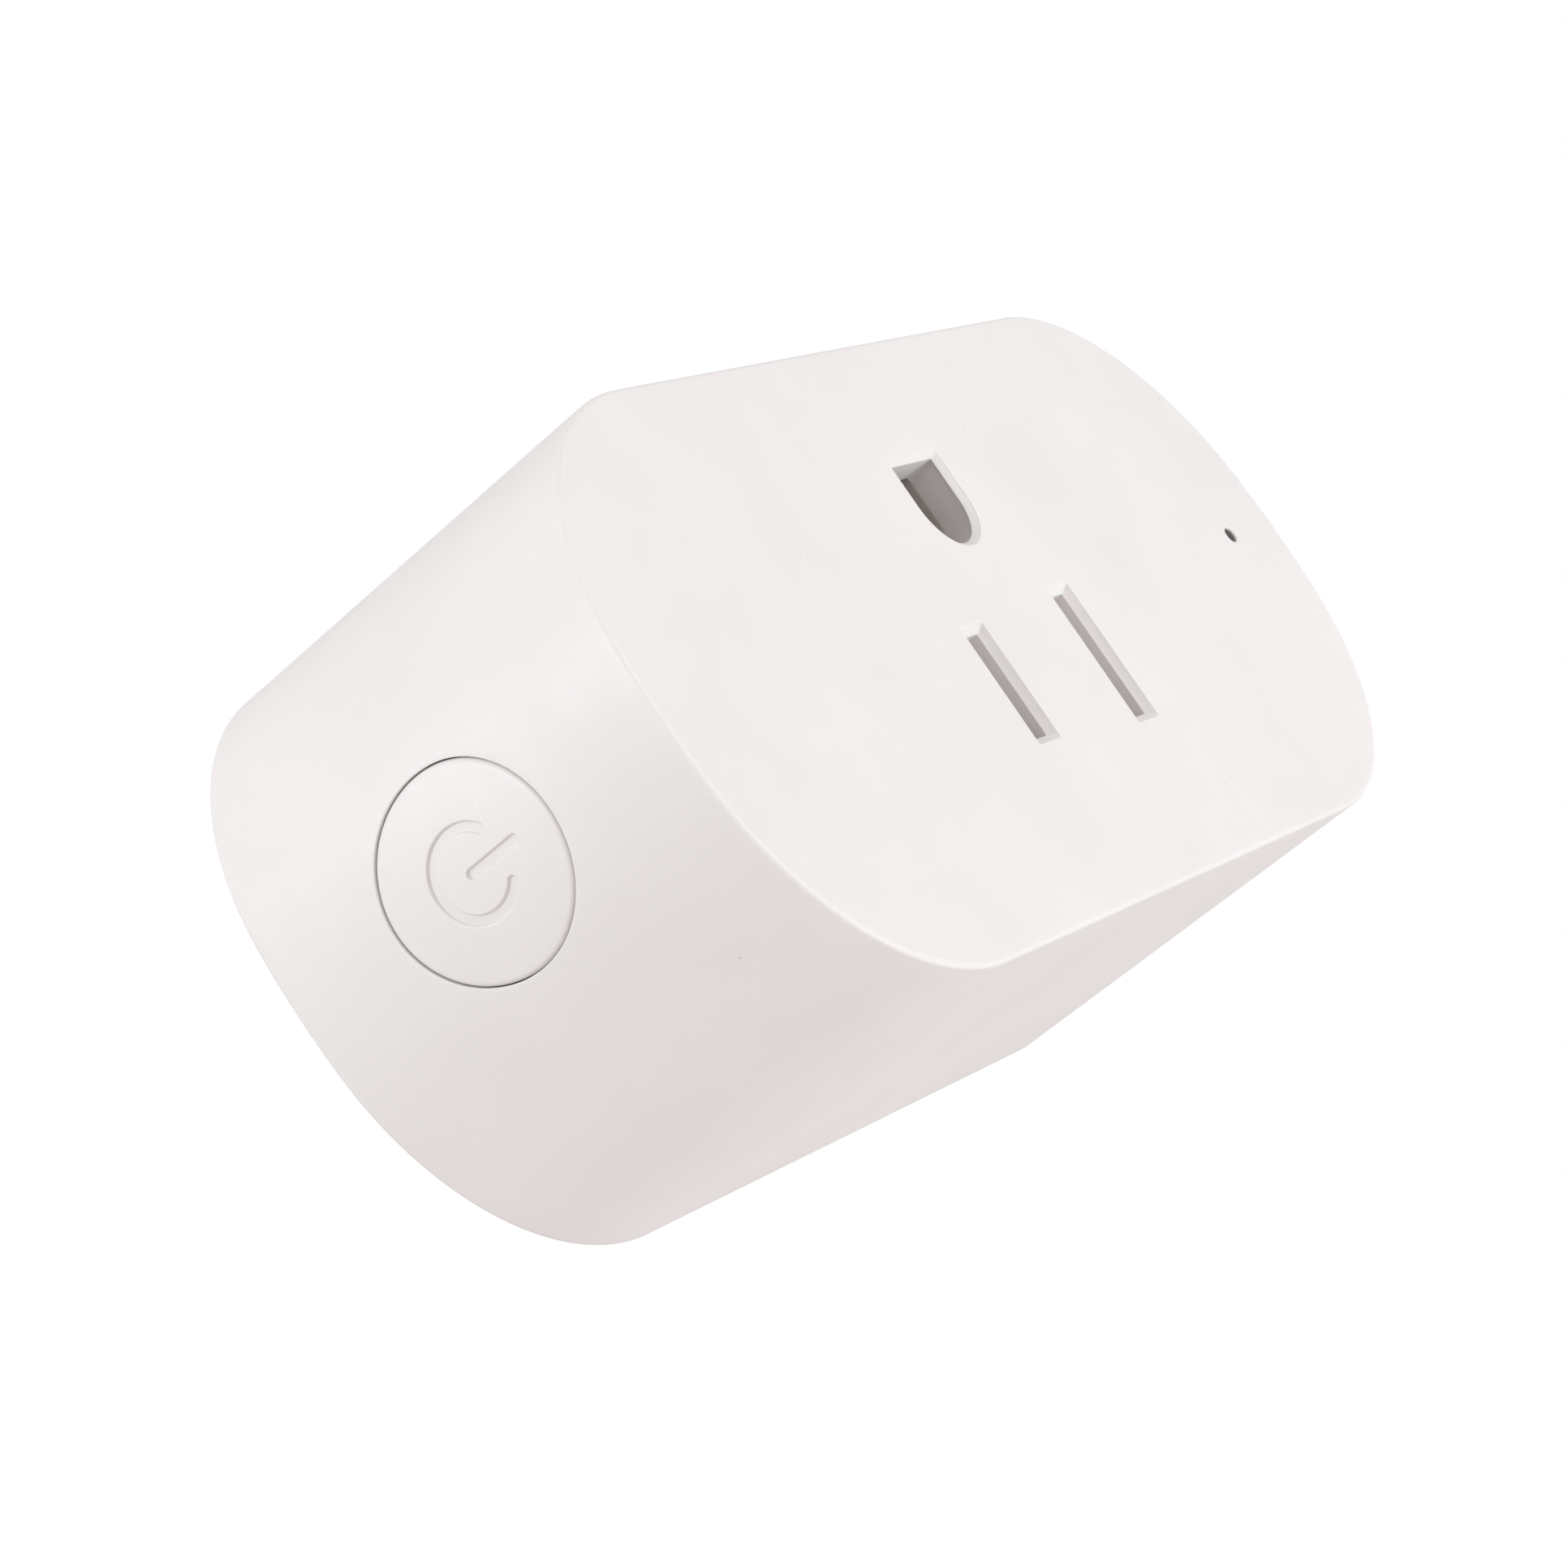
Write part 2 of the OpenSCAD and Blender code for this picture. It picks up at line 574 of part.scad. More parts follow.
// A lacquered disc standing on its two legs
module varistor() color([0.2, 0.35, 0.65]) stand() {
    rod_x(-27.9, -24.9, 5.2, board_top + 5.4, 4.5);
    for (s = [-1, 1]) translate([-26.4 + s * 0.6, 5.2 + s * 2.5, board_top]) cylinder(h = 4, r = 0.35);
}

module fuse() color([0.85, 0.8, 0.7]) stand() {
    rod_x(-31, -24, -1.6, board_top + 2.1, 1.6);
    for (x = [-31, -25.5]) rod_x(x, x + 1.5, -1.6, board_top + 2.1, 1.8);
}

module inductor_core() color([0.2, 0.2, 0.2]) stand() translate([-31.8, 7, board_top])
    rotate_extrude() polygon([[0, 0], [3.6, 0], [3.6, 1.2], [1.8, 1.2], [1.8, 7.8], [3.6, 7.8], [3.6, 9], [0, 9]]);

module inductor_winding() color([0.7, 0.35, 0.15]) stand() translate([-31.8, 7, board_top + 1.2])
    difference() {
        cylinder(h = 6.6, r = 3.3);
        translate([0, 0, -1]) cylinder(h = 9, r = 1.8);
    }

// ---- control board with switch and radio ----

module control_board() color([0.12, 0.35, 0.2]) stand() difference() {
    box([control_x, -10, board_top], [control_x + control_t, 10, face_in - 1]);
    for (i = [0:header_pins - 1])
        box([control_x - 1, header_y(i) - 0.35, board_top + 0.85],
            [control_x + 2 * control_t, header_y(i) + 0.35, board_top + 1.55]);
}

module board_header() color([0.15, 0.15, 0.15]) stand() {
    box([control_x - 2.2, header_y(0) - 1.2, board_top], [control_x, header_y(header_pins - 1) + 1.2, board_top + 2.4]);
    for (i = [0:header_pins - 1]) translate([0, header_y(i), 0]) {
        box([header_x - 0.3, -0.3, leg_end], [header_x + 0.3, 0.3, board_top + eps]);
        box([control_x - eps, -0.3, board_top + 0.9], [control_x + control_t + 0.9, 0.3, board_top + 1.5]);
    }
}

module wifi_module() color([0.08, 0.12, 0.2]) stand()
    box([control_x - 0.8, -8, board_top + 3.2], [control_x, 8, face_in - 1.4]);

module shield_can() color("silver") stand() difference() {
    box([control_x - 2.8, -5.8, board_top + 3.8], [control_x - 0.8, 5.8, board_top + 13]);
    box([control_x - 2.6, -5.6, board_top + 4], [control_x, 5.6, board_top + 12.8]);
}

module tact_switch_body() color([0.15, 0.15, 0.15]) stand() {
    base_x = control_x + control_t;
    difference() {
        box([base_x, -3, button_z - 3], [base_x + switch_h, 3, button_z + 3]);
        rod_x(base_x + 1.2, base_x + switch_h + 1, 0, button_z, plunger_r + 0.08);
    }
    for (sy = [-1, 1], sz = [-1, 1])
        box([base_x, sy * 3.5 - 0.5, button_z + sz * 2.2 - 0.35],
            [base_x + 0.3, sy * 3.5 + 0.5, button_z + sz * 2.2 + 0.35]);
}

module tact_switch_plunger() color([0.1, 0.1, 0.1]) stand()
    rod_x(control_x + control_t + 1.2 + button_travel + slack, plunger_top, 0, button_z, plunger_r);

// ---- relay ----

module at_relay() stand() translate([relay_x, 0, 0]) children();

module relay_case() color([0.1, 0.1, 0.12]) at_relay() difference() {
    outer_x = relay_half_x + relay_skin;
    outer_y = relay_half_y + relay_skin;
    box([-outer_x, -outer_y, board_top + 0.3], [outer_x, outer_y, board_top + relay_h]);
    box([-relay_half_x, -relay_half_y, 0], [relay_half_x, relay_half_y, board_top + relay_h - relay_skin]);
}

module relay_base() color([0.2, 0.2, 0.2]) at_relay() {
    difference() {
        box([fit - relay_half_x, fit - relay_half_y, board_top + 0.3],
            [relay_half_x - fit, relay_half_y - fit, relay_floor]);
        for (y = [pin_y, pin_out_y]) translate([-1.2, y - 0.5, 0]) cube([2.4, 1, body_d]);
    }
    for (sx = [-1, 1]) {
        translate([sx * coil_pin_x, 1, leg_end]) cylinder(h = board_t + 2, r = 0.35);
        box([sx * 4.3 - 0.5, -7, board_top], [sx * 4.3 + 0.5, 7, board_top + 0.3 + eps]);
    }
}

module relay_bobbin() color([0.9, 0.88, 0.8]) at_relay() translate([0, coil_y, 0]) difference() {
    union() {
        for (z = [relay_floor + 1, relay_floor + 9.6])
            translate([0, 0, z + 0.4]) cube([8.4, 9, 0.8], center = true);
        translate([0, 0, relay_floor + 1]) cylinder(h = 9, r = 2.1);
    }
    translate([0, 0, relay_floor]) cylinder(h = 12, r = 1.5);
}

module relay_winding() color([0.7, 0.35, 0.15]) at_relay() translate([0, coil_y, relay_floor + 1.8])
    difference() {
        cylinder(h = 7.8, r = 4);
        translate([0, 0, -1]) cylinder(h = 10, r = 2.1);
    }

// Iron core with its pole face, and the L-shaped yoke that leads round to the armature
module relay_yoke() color([0.6, 0.6, 0.6]) at_relay() {
    translate([0, coil_y, relay_floor]) cylinder(h = 10.8, r = 1.45);
    translate([0, coil_y, relay_floor + 10.4]) cylinder(h = 0.6, r = 3);
    box([-3.4, coil_y - 1.6, relay_floor], [3.4, relay_half_y - 0.2, relay_floor + 1]);
    box([-3.4, relay_half_y - 1, relay_floor], [3.4, relay_half_y - 0.2, armature_z - 0.2]);
    box([-1.1, pin_y - 0.4, leg_end], [1.1, pin_y + 0.4, relay_floor + eps]);
}

module relay_armature() color([0.65, 0.65, 0.65]) at_relay()
    box([-3.2, coil_y - 3, armature_z], [3.2, relay_half_y - 0.3, armature_z + 0.9]);

// Spring arm that the armature carries, with its contact rivet
module relay_moving_contact() color([0.8, 0.5, 0.3]) at_relay() {
    box([-1.8, contact_y - 1.6, armature_z + 0.9], [1.8, relay_half_y - 1.5, armature_z + 1.2]);
    translate([0, contact_y, armature_z]) cylinder(h = 0.9 + eps, r = 1.3);
}

module relay_fixed_contact() color([0.8, 0.5, 0.3]) at_relay() {
    box([-1.5, contact_y - 1.5, relay_floor], [1.5, contact_y - 0.9, armature_z - 1.9]);
    box([-1.5, contact_y - 1.5, armature_z - 2.4], [1.5, contact_y + 1.5, armature_z - 1.8]);
    translate([0, contact_y, armature_z - 1.8 - eps]) cylinder(h = 0.8, r = 1.3);
    box([-1.1, pin_out_y - 0.4, leg_end], [1.1, pin_out_y + 0.4, relay_floor + eps]);
}

front_housing();
rear_cover();
power_button();
light_pipe();
contact_carrier();
safety_shutter();
shutter_spring();
line_contact();
neutral_contact();
ground_contact();
line_blade();
neutral_blade();
ground_pin();
neutral_strap();
line_input_strap();
line_output_strap();
main_board();
board_screws();
control_board();
board_header();
wifi_module();
shield_can();
tact_switch_body();
tact_switch_plunger();
relay_case();
relay_base();
relay_bobbin();
relay_winding();
relay_yoke();
relay_armature();
relay_moving_contact();
relay_fixed_contact();
status_led();
bulk_capacitors();
output_capacitor();
film_capacitor();
varistor();
fuse();
inductor_core();
inductor_winding();
bridge_rectifier();
supply_chip();
driver_transistor();
chip_resistors();
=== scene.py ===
import math

import bpy
import numpy as np
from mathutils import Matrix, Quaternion, Vector
from mathutils.geometry import delaunay_2d_cdt


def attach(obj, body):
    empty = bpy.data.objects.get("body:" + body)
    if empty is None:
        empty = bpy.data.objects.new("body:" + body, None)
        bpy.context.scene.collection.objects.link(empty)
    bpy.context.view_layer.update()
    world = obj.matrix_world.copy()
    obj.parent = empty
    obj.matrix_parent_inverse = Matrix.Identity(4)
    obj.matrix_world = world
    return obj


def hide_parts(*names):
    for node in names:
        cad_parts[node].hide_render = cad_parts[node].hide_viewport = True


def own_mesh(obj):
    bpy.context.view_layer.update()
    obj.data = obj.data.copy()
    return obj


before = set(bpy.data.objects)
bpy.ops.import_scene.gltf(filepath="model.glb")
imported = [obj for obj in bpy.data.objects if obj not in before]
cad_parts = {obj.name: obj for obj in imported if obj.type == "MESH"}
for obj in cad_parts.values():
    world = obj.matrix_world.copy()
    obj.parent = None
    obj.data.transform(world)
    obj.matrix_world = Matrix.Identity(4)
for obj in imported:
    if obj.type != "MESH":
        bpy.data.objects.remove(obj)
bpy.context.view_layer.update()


# ---- Front housing ----
# One white moulding in flame-retardant ABS: the receptacle face with its slots, the wall
# round all four sides and the posts inside. It is moulded in one shot with a fine
# spark-eroded grain, and the rear cover snaps into the rebate at its back.

BODY_W = 81.8
BODY_H = 37.8
BODY_D = 29.0
CORNER_R = 16.4
END_R = 40.5
WALL = 2.0
FACE_T = 2.4
FACE_IN = BODY_D - FACE_T
COVER_T = 2.2
COVER_INSET = 1.1
FRONT_ROUND = 0.3
REAR_ROUND = 0.3
HOLE_ROUND = 0.06
RECEPTACLE_X = -1.3
LINE_X = RECEPTACLE_X + 6.35
NEUTRAL_X = RECEPTACLE_X - 6.35
BLADE_Z = 4.2
GROUND_Z = BLADE_Z - 11.9
SLOT_W = 1.9
LINE_SLOT = 7.1
NEUTRAL_SLOT = 8.75
SLOT_CORNER = 0.12
LEAD_SIDE = 0.45
LEAD_END = 0.5
LEAD_DEPTH = 0.5
GROUND_R = 2.75
GROUND_FLAT = 3.0
GROUND_LEAD = 0.38
SLOT_RELIEF = 0.02
GROUND_RELIEF = 0.3
BUTTON_R = 5.95
BUTTON_GAP = 0.22
BUTTON_H = BODY_D - 14.7
LIGHT_X = -34.1
LIGHT_Z = -0.5
LIGHT_R = 0.55
LIGHT_EDGE = 0.1
SLEEVE_R = 2.4
PIPE_R = 1.3
BOARD_TOP = 8.0
BOSS = (26.5, 13.2)
BOSS_R = 2.4
SCREW_R = 1.02
SCREW_DEPTH = 7.5
FIT = 0.05
HOOK_X = 17.0
HOOK_W = 6.4
HOOK_LOW = 4.4
HOOK_HIGH = 5.7
POCKET = 0.8
FLAT_CELLS = (5, 6, 30, 6, 5)

END_X = BODY_W / 2 - END_R
CORNER_Z = BODY_H / 2 - CORNER_R
CORNER_X = END_X + math.sqrt((END_R - CORNER_R) ** 2 - CORNER_Z**2)
MEET = math.atan2(CORNER_Z, CORNER_X - END_X)
CORNER_STEPS = 44
END_STEPS = 16
SIDE_COUNT = 2 * CORNER_STEPS + END_STEPS + 1


def spaced(stops, cells):
    """Values from stop to stop, each stretch cut into its own number of equal cells."""
    parts = [np.linspace(a, b, n, endpoint=False) for a, b, n in zip(stops, stops[1:], cells)]
    return np.concatenate(parts + [[stops[-1]]])


def outline(inset):
    """The body's outline moved inwards, as x and z: on each side a shallow end arc runs into
    two corner arcs, radius times cosine and sine about each centre, and flats join the sides."""
    corner = np.linspace(-math.pi / 2, -MEET, CORNER_STEPS + 1)
    end = np.linspace(-MEET, MEET, END_STEPS + 1)[1:-1]
    r = CORNER_R - inset
    low = np.stack([CORNER_X + r * np.cos(corner), -CORNER_Z + r * np.sin(corner)], 1)
    mid = np.stack([END_X + (END_R - inset) * np.cos(end), (END_R - inset) * np.sin(end)], 1)
    side = np.concatenate([low, mid, low[::-1] * [1, -1]])
    hook = [HOOK_X + HOOK_W / 2, HOOK_X - HOOK_W / 2]
    stops = [CORNER_X, *hook, -hook[1], -hook[0], -CORNER_X]
    flat = spaced(stops, FLAT_CELLS)[1:-1]
    top = np.stack([flat, np.full(len(flat), BODY_H / 2 - inset)], 1)
    half = np.concatenate([side, top])
    return np.concatenate([half, -half])


def end_surface(z, inset):
    """Height in x of the button end over z: the end arc inside the meeting point, and beyond
    it the corner arc, each the centre plus the root of radius squared less height squared."""
    z = np.abs(z)
    inner = END_X + np.sqrt(np.maximum((END_R - inset) ** 2 - z**2, 0))
    outer = CORNER_X + np.sqrt(np.maximum((CORNER_R - inset) ** 2 - (z - CORNER_Z) ** 2, 0))
    return np.where(z < (END_R - inset) * math.sin(MEET), inner, outer)


def ring(points, height):
    """A flat loop of x and z points lifted to its height above the wall."""
    return np.column_stack([points, np.full(len(points), height)])


def rounded_loop(x0, x1, z0, z1, radii, grow=0.0, steps=10):
    """A rectangle grown on all sides, with a quarter arc of its own radius at each corner,
    anticlockwise from low z at high x. Points that fall together are dropped."""
    spots = []
    x0, x1, z0, z1 = x0 - grow, x1 + grow, z0 - grow, z1 + grow
    corners = [(x1, z0), (x1, z1), (x0, z1), (x0, z0)]
    signs = [(-1, 1), (-1, -1), (1, -1), (1, 1)]
    for k, ((x, z), (sx, sz), radius) in enumerate(zip(corners, signs, radii)):
        r = radius + grow
        a = np.linspace(-math.pi / 2, 0, steps + 1) + k * math.pi / 2
        spots.append(np.stack([x + sx * r + r * np.cos(a), z + sz * r + r * np.sin(a)], 1))
    loop = np.concatenate(spots)
    gap = np.linalg.norm(loop - np.roll(loop, 1, 0), axis=1)
    return loop[gap > 1e-6]


def circle(x, z, r, count=48):
    """A circle of points about x and z."""
    a = np.linspace(0, 2 * math.pi, count, endpoint=False)
    return np.stack([x + r * np.cos(a), z + r * np.sin(a)], 1)


class Moulding:
    """Gathers grids, collars and flat webs that share their edges into one closed mesh.
    Points are x, z and height above the wall, in millimetres."""

    def __init__(self):
        self.points = []
        self.faces = []
        self.count = 0

    def add(self, points):
        """Stores points of any grid shape and returns their numbers in the same shape."""
        flat = np.asarray(points, float).reshape(-1, 3)
        numbers = np.arange(self.count, self.count + len(flat))
        self.points.append(flat)
        self.count += len(flat)
        return numbers.reshape(np.shape(points)[:-1])

    def skin(self, rows, keep=None):
        """Quads between each row of numbers and the next, every row a closed loop."""
        rows = np.asarray(rows)
        nxt = np.roll(rows, -1, 1)
        quads = np.stack([rows[:-1], nxt[:-1], nxt[1:], rows[1:]], 2)
        quads = quads.reshape(-1, 4) if keep is None else quads[keep]
        self.faces.extend(quads.tolist())

    def collar(self, first, loops):
        """Rings that start at loop numbers first and pass through the given loops of points;
        returns the numbers of the last one."""
        rows = [first] + [self.add(loop) for loop in loops]
        self.skin(rows)
        return rows[-1]

    def web(self, outer, holes=(), up=True):
        """A flat sheet between the loop outer and the loops in holes, in Delaunay triangles: one
        is kept where a line from its middle crosses the loops an odd number of times."""
        loops = [outer, *holes]
        numbers = np.concatenate(loops)
        flat = np.concatenate(self.points)[numbers]
        drop = int(np.argmin(np.ptp(flat, axis=0)))
        a, b = (k for k in (1, 2, 0) if k != drop)
        starts = np.cumsum([0] + [len(loop) for loop in loops])
        edges = [(int(s + k), int(s + (k + 1) % (e - s)))
                 for s, e in zip(starts, starts[1:]) for k in range(e - s)]
        spots = [Vector(p) for p in flat[:, [a, b]]]
        _, _, made, source, _, _ = delaunay_2d_cdt(spots, edges, [], 0, 1e-6)
        made = np.array([[source[k][0] for k in tri] for tri in made])
        centre = flat[made].mean(1)[:, None, [a, b]]
        start, end = (flat[np.array(edges)[:, k]][None, :, [a, b]] for k in (0, 1))
        spans = (start[..., 1] > centre[..., 1]) != (end[..., 1] > centre[..., 1])
        rise = np.where(spans, end[..., 1] - start[..., 1], 1)
        reach = start[..., 0] + (centre[..., 1] - start[..., 1]) * (end[..., 0] - start[..., 0]) / rise
        made = made[(spans & (reach > centre[..., 0])).sum(1) % 2 == 1]
        p, q, r = (flat[made[:, k]] for k in range(3))
        if (np.cross(q - p, r - p)[:, drop].sum() > 0) != up:
            made = made[:, ::-1]
        self.faces.extend(numbers[made].tolist())

    def piece(self, name):
        """The finished object in metres: x stays, height becomes -y, and z stays."""
        p = np.concatenate(self.points) * 0.001
        mesh = bpy.data.meshes.new(name)
        mesh.from_pydata(np.stack([p[:, 0], -p[:, 2], p[:, 1]], 1).tolist(), [], self.faces)
        mesh.validate()
        mesh.shade_smooth()
        mesh.set_sharp_from_angle(angle=math.radians(40))
        made = bpy.data.objects.new(name, mesh)
        bpy.context.scene.collection.objects.link(made)
        return made


def block(grid, rows, cols):
    """Numbers round the block of grid cells between two rows and two columns, in the turn
    of its quads."""
    (r0, r1), (c0, c1) = rows, cols
    low = grid[r0, c0:c1]
    right = grid[r0:r1, c1]
    high = grid[r1, c1:c0:-1]
    left = grid[r1:r0:-1, c0]
    return np.concatenate([low, right, high, left])


def bar(mould, x0, x1, z0, z1, h0, h1, soft, corner=None):
    """A closed block between two heights: a rounded rectangle carried upwards, drawn in by a
    quarter round of radius soft at both ends."""
    radii = [max(corner or 0.0, soft * 1.01)] * 4
    steps = [(-soft + side, h0 + down) for side, down in [(0, 0), *rounding(soft, 3)]]
    steps += [(grow, h0 + h1 - h) for grow, h in steps[::-1]]
    loops = [ring(rounded_loop(x0, x1, z0, z1, radii, grow, 3), h) for grow, h in steps]
    first = mould.add(loops[0])
    mould.web(first, up=False)
    mould.web(mould.collar(first, loops[1:]), up=True)


def turned(mould, x, z, profile, count=48):
    """A closed body of revolution about a line through x and z: circles of each radius and
    height in profile, from its low end to its high end."""
    loops = [ring(circle(x, z, r, count), h) for r, h in profile]
    first = mould.add(loops[0])
    mould.web(first, up=False)
    mould.web(mould.collar(first, loops[1:]), up=True)


def outside(shape, rows, cols):
    """True for each cell of a grid that isn't in the block between two rows and columns."""
    keep = np.ones(shape, bool)
    keep[rows[0]:rows[1], cols[0]:cols[1]] = False
    return keep


def rounding(radius, steps=6):
    """Sideways and downward way of a quarter round, as radius times one less sine and one
    less cosine of the turned angle."""
    a = np.linspace(0, math.pi / 2, steps + 1)[1:]
    return [(radius * math.sin(t), radius * (1 - math.cos(t))) for t in a]


housing = Moulding()

# The outer wall starts at the rear rim, rises, rounds over and ends on the face.
hole_reach = CORNER_STEPS - 8
button_cols = (hole_reach, SIDE_COUNT - 1 - hole_reach)
hole_z = abs(outline(0)[hole_reach, 1])
hole_heights = np.linspace(BUTTON_H - hole_z, BUTTON_H + hole_z, 31)
low_heights = np.linspace(REAR_ROUND, hole_heights[0], 8)[1:-1]
high_heights = np.linspace(hole_heights[-1], BODY_D - FRONT_ROUND, 6)[1:]
rows = [ring(outline(REAR_ROUND), 0)]
rows += [ring(outline(REAR_ROUND - side), down) for side, down in rounding(REAR_ROUND, 5)]
first_row = len(rows) + len(low_heights)
rows += [ring(outline(0), h) for h in (*low_heights, *hole_heights, *high_heights)]
rows += [ring(outline(down), BODY_D - FRONT_ROUND + side) for side, down in rounding(FRONT_ROUND, 10)]
rows += [ring(outline(FRONT_ROUND + more), BODY_D) for more in (0.25, 0.5)]
outer = housing.add(np.array(rows))
button_rows = (first_row, first_row + len(hole_heights) - 1)
housing.skin(outer, outside((len(outer) - 1, outer.shape[1]), button_rows, button_cols))

# Inside, the wall comes down from the face to the rebate that holds the rear cover.
inner_heights = np.concatenate([[FACE_IN], hole_heights[::-1], [HOOK_HIGH, HOOK_LOW, COVER_T]])
inner = housing.add(np.array([ring(outline(WALL), h) for h in inner_heights]))
inner_rows = (1, len(hole_heights))
pocket_rows = (len(hole_heights) + 1, len(hole_heights) + 2)
top_start = SIDE_COUNT - 1
half_turn = len(outline(0)) // 2
stops = np.cumsum(FLAT_CELLS)
starts = [top_start + t for t in (0, half_turn)]
pocket_cols = [(start + stops[k], start + stops[k + 1]) for start in starts for k in (0, 2)]
keep = outside((len(inner) - 1, inner.shape[1]), inner_rows, button_cols)
for cols in pocket_cols:
    keep &= outside(keep.shape, pocket_rows, cols)
housing.skin(inner, keep)
for k, cols in enumerate(pocket_cols):
    mouth = block(inner, pocket_rows, cols)
    every = np.concatenate(housing.points)
    bottom = housing.collar(mouth, [every[mouth] + [0, POCKET if k < 2 else -POCKET, 0]])
    housing.web(bottom, up=k > 1)
rebate = housing.collar(inner[-1], [ring(outline(COVER_INSET), COVER_T), ring(outline(COVER_INSET), 0)])
housing.skin([rebate, outer[0]])

# The button's hole runs straight through the end wall, with a soft edge outside.
mouth = block(outer, button_rows, button_cols)
every = np.concatenate(housing.points)
around = every[mouth]
back_of = {int(a): int(b) for a, b in zip(outer[button_rows[0]:button_rows[1] + 1].ravel(),
                                          inner[inner_rows[0]:inner_rows[1] + 1][::-1].ravel())}
behind = np.array([back_of[int(n)] for n in mouth])
theta = np.arctan2(around[:, 2] - BUTTON_H, around[:, 1])
HOLE_R = BUTTON_R + BUTTON_GAP


def end_ring(radius, inset, sink=0.0):
    """A circle about the button's axis laid on the end surface, sunk by some way in x."""
    z = radius * np.cos(theta)
    return np.column_stack([end_surface(z, inset) - sink, z, BUTTON_H + radius * np.sin(theta)])


def end_blend(first, last, share, inset):
    """Points that share of the way from loop first to loop last, put back on the end surface."""
    p = first + (last - first) * share
    p[:, 0] = end_surface(p[:, 1], inset)
    return p


BUTTON_EDGE = 0.08
lip = end_ring(HOLE_R + BUTTON_EDGE, 0)
loops = [end_blend(around, lip, share, 0) for share in np.linspace(0, 1, 8)[1:]]
loops += [end_ring(HOLE_R + BUTTON_EDGE - side, 0, down) for side, down in rounding(BUTTON_EDGE)]
loops.append(end_ring(HOLE_R, WALL))
loops += [end_blend(loops[-1], every[behind], share, WALL) for share in np.linspace(0, 1, 7)[1:-1]]
housing.skin([housing.collar(mouth, loops), behind])

# Each opening in the face starts with a narrow flat rim that keeps its soft edge's shading.
RIM = 0.3


def slot_loops(x, length):
    """Loops down one blade slot: flat rim, soft edge, lead-in that slopes on all sides, and
    behind its lip a slightly wider throat for the shutter."""
    half_w = SLOT_W / 2
    half_l = length / 2
    place = (x - half_w, x + half_w, BLADE_Z - half_l, BLADE_Z + half_l)
    wide = (place[0] - LEAD_SIDE, place[1] + LEAD_SIDE, place[2] - LEAD_END, place[3] + LEAD_END)
    soft = [(HOLE_ROUND - side, BODY_D - down) for side, down in [(0, 0), *rounding(HOLE_ROUND)]]
    flat = [(HOLE_ROUND + more, BODY_D) for more in (RIM, RIM / 2)]
    radii = [SLOT_CORNER] * 4
    made = [ring(rounded_loop(*wide, radii, grow), h) for grow, h in flat + soft]
    lip = rounded_loop(*place, radii)
    throat = rounded_loop(*place, radii, SLOT_RELIEF)
    steps = [(lip, BODY_D - LEAD_DEPTH), (throat, BODY_D - LEAD_DEPTH), (throat, FACE_IN)]
    return made + [ring(p, h) for p, h in steps]


def ground_loops():
    """Loops down the ground opening, which is round towards the blades and flat on its far
    side: flat rim, soft edge, short even slope, and a throat that is wider than its lip
    except at the flat."""
    sides = (RECEPTACLE_X - GROUND_R, RECEPTACLE_X + GROUND_R)
    place = (*sides, GROUND_Z - GROUND_FLAT, GROUND_Z + GROUND_R)
    radii = [SLOT_CORNER, GROUND_R, GROUND_R, SLOT_CORNER]
    top = GROUND_LEAD + HOLE_ROUND
    flat = [(top + more, BODY_D) for more in (RIM, RIM / 2)]
    soft = [(top - side, BODY_D - down) for side, down in [(0, 0), *rounding(HOLE_ROUND)]]
    steps = [*flat, *soft, (0.0, BODY_D - GROUND_LEAD)]
    made = [ring(rounded_loop(*place, radii, grow, 16), h) for grow, h in steps]
    flat_kept = (*sides, place[2] + GROUND_RELIEF, place[3])
    throat = rounded_loop(*flat_kept, radii, GROUND_RELIEF, 16)
    return made + [ring(throat, BODY_D - GROUND_LEAD), ring(throat, FACE_IN)]


mouths = []
throats = []
for loops in (slot_loops(LINE_X, LINE_SLOT), slot_loops(NEUTRAL_X, NEUTRAL_SLOT), ground_loops()):
    mouths.append(housing.add(loops[0]))
    throats.append(housing.collar(mouths[-1], loops[1:]))

# Behind the face: four screw posts, the light pipe's sleeve and the carrier's frame.
roots = []
for x, z in [(sx * BOSS[0], sz * BOSS[1]) for sx in (-1, 1) for sz in (-1, 1)]:
    post = circle(x, z, BOSS_R)[::-1]
    bore = circle(x, z, SCREW_R)[::-1]
    roots.append(housing.add(ring(post, FACE_IN)))
    steps = [(post, BOARD_TOP), (bore, BOARD_TOP), (bore, BOARD_TOP + SCREW_DEPTH)]
    housing.web(housing.collar(roots[-1], [ring(p, h) for p, h in steps]), up=False)
roots.append(housing.add(ring(circle(LIGHT_X, LIGHT_Z, SLEEVE_R)[::-1], FACE_IN)))
steps = [(SLEEVE_R, FACE_IN - 6), (PIPE_R + FIT, FACE_IN - 6), (PIPE_R + FIT, FACE_IN + 1)]
steps += [(LIGHT_R, FACE_IN + 1), (LIGHT_R, BODY_D - LIGHT_EDGE)]
steps += [(LIGHT_R + LIGHT_EDGE * 0.3, BODY_D - LIGHT_EDGE * 0.3)]
steps += [(LIGHT_R + LIGHT_EDGE + more, BODY_D) for more in (0, RIM / 2, RIM)]
mouths.append(housing.collar(roots[-1], [ring(circle(LIGHT_X, LIGHT_Z, r)[::-1], h) for r, h in steps]))
frame_out = rounded_loop(-16.2, 13.65, -14.4, 13.0, [0.5] * 4)[::-1]
frame_in = rounded_loop(-15.05, 13.25, -13.25, 11.85, [0.2] * 4)[::-1]
roots.append(housing.add(ring(frame_out, FACE_IN)))
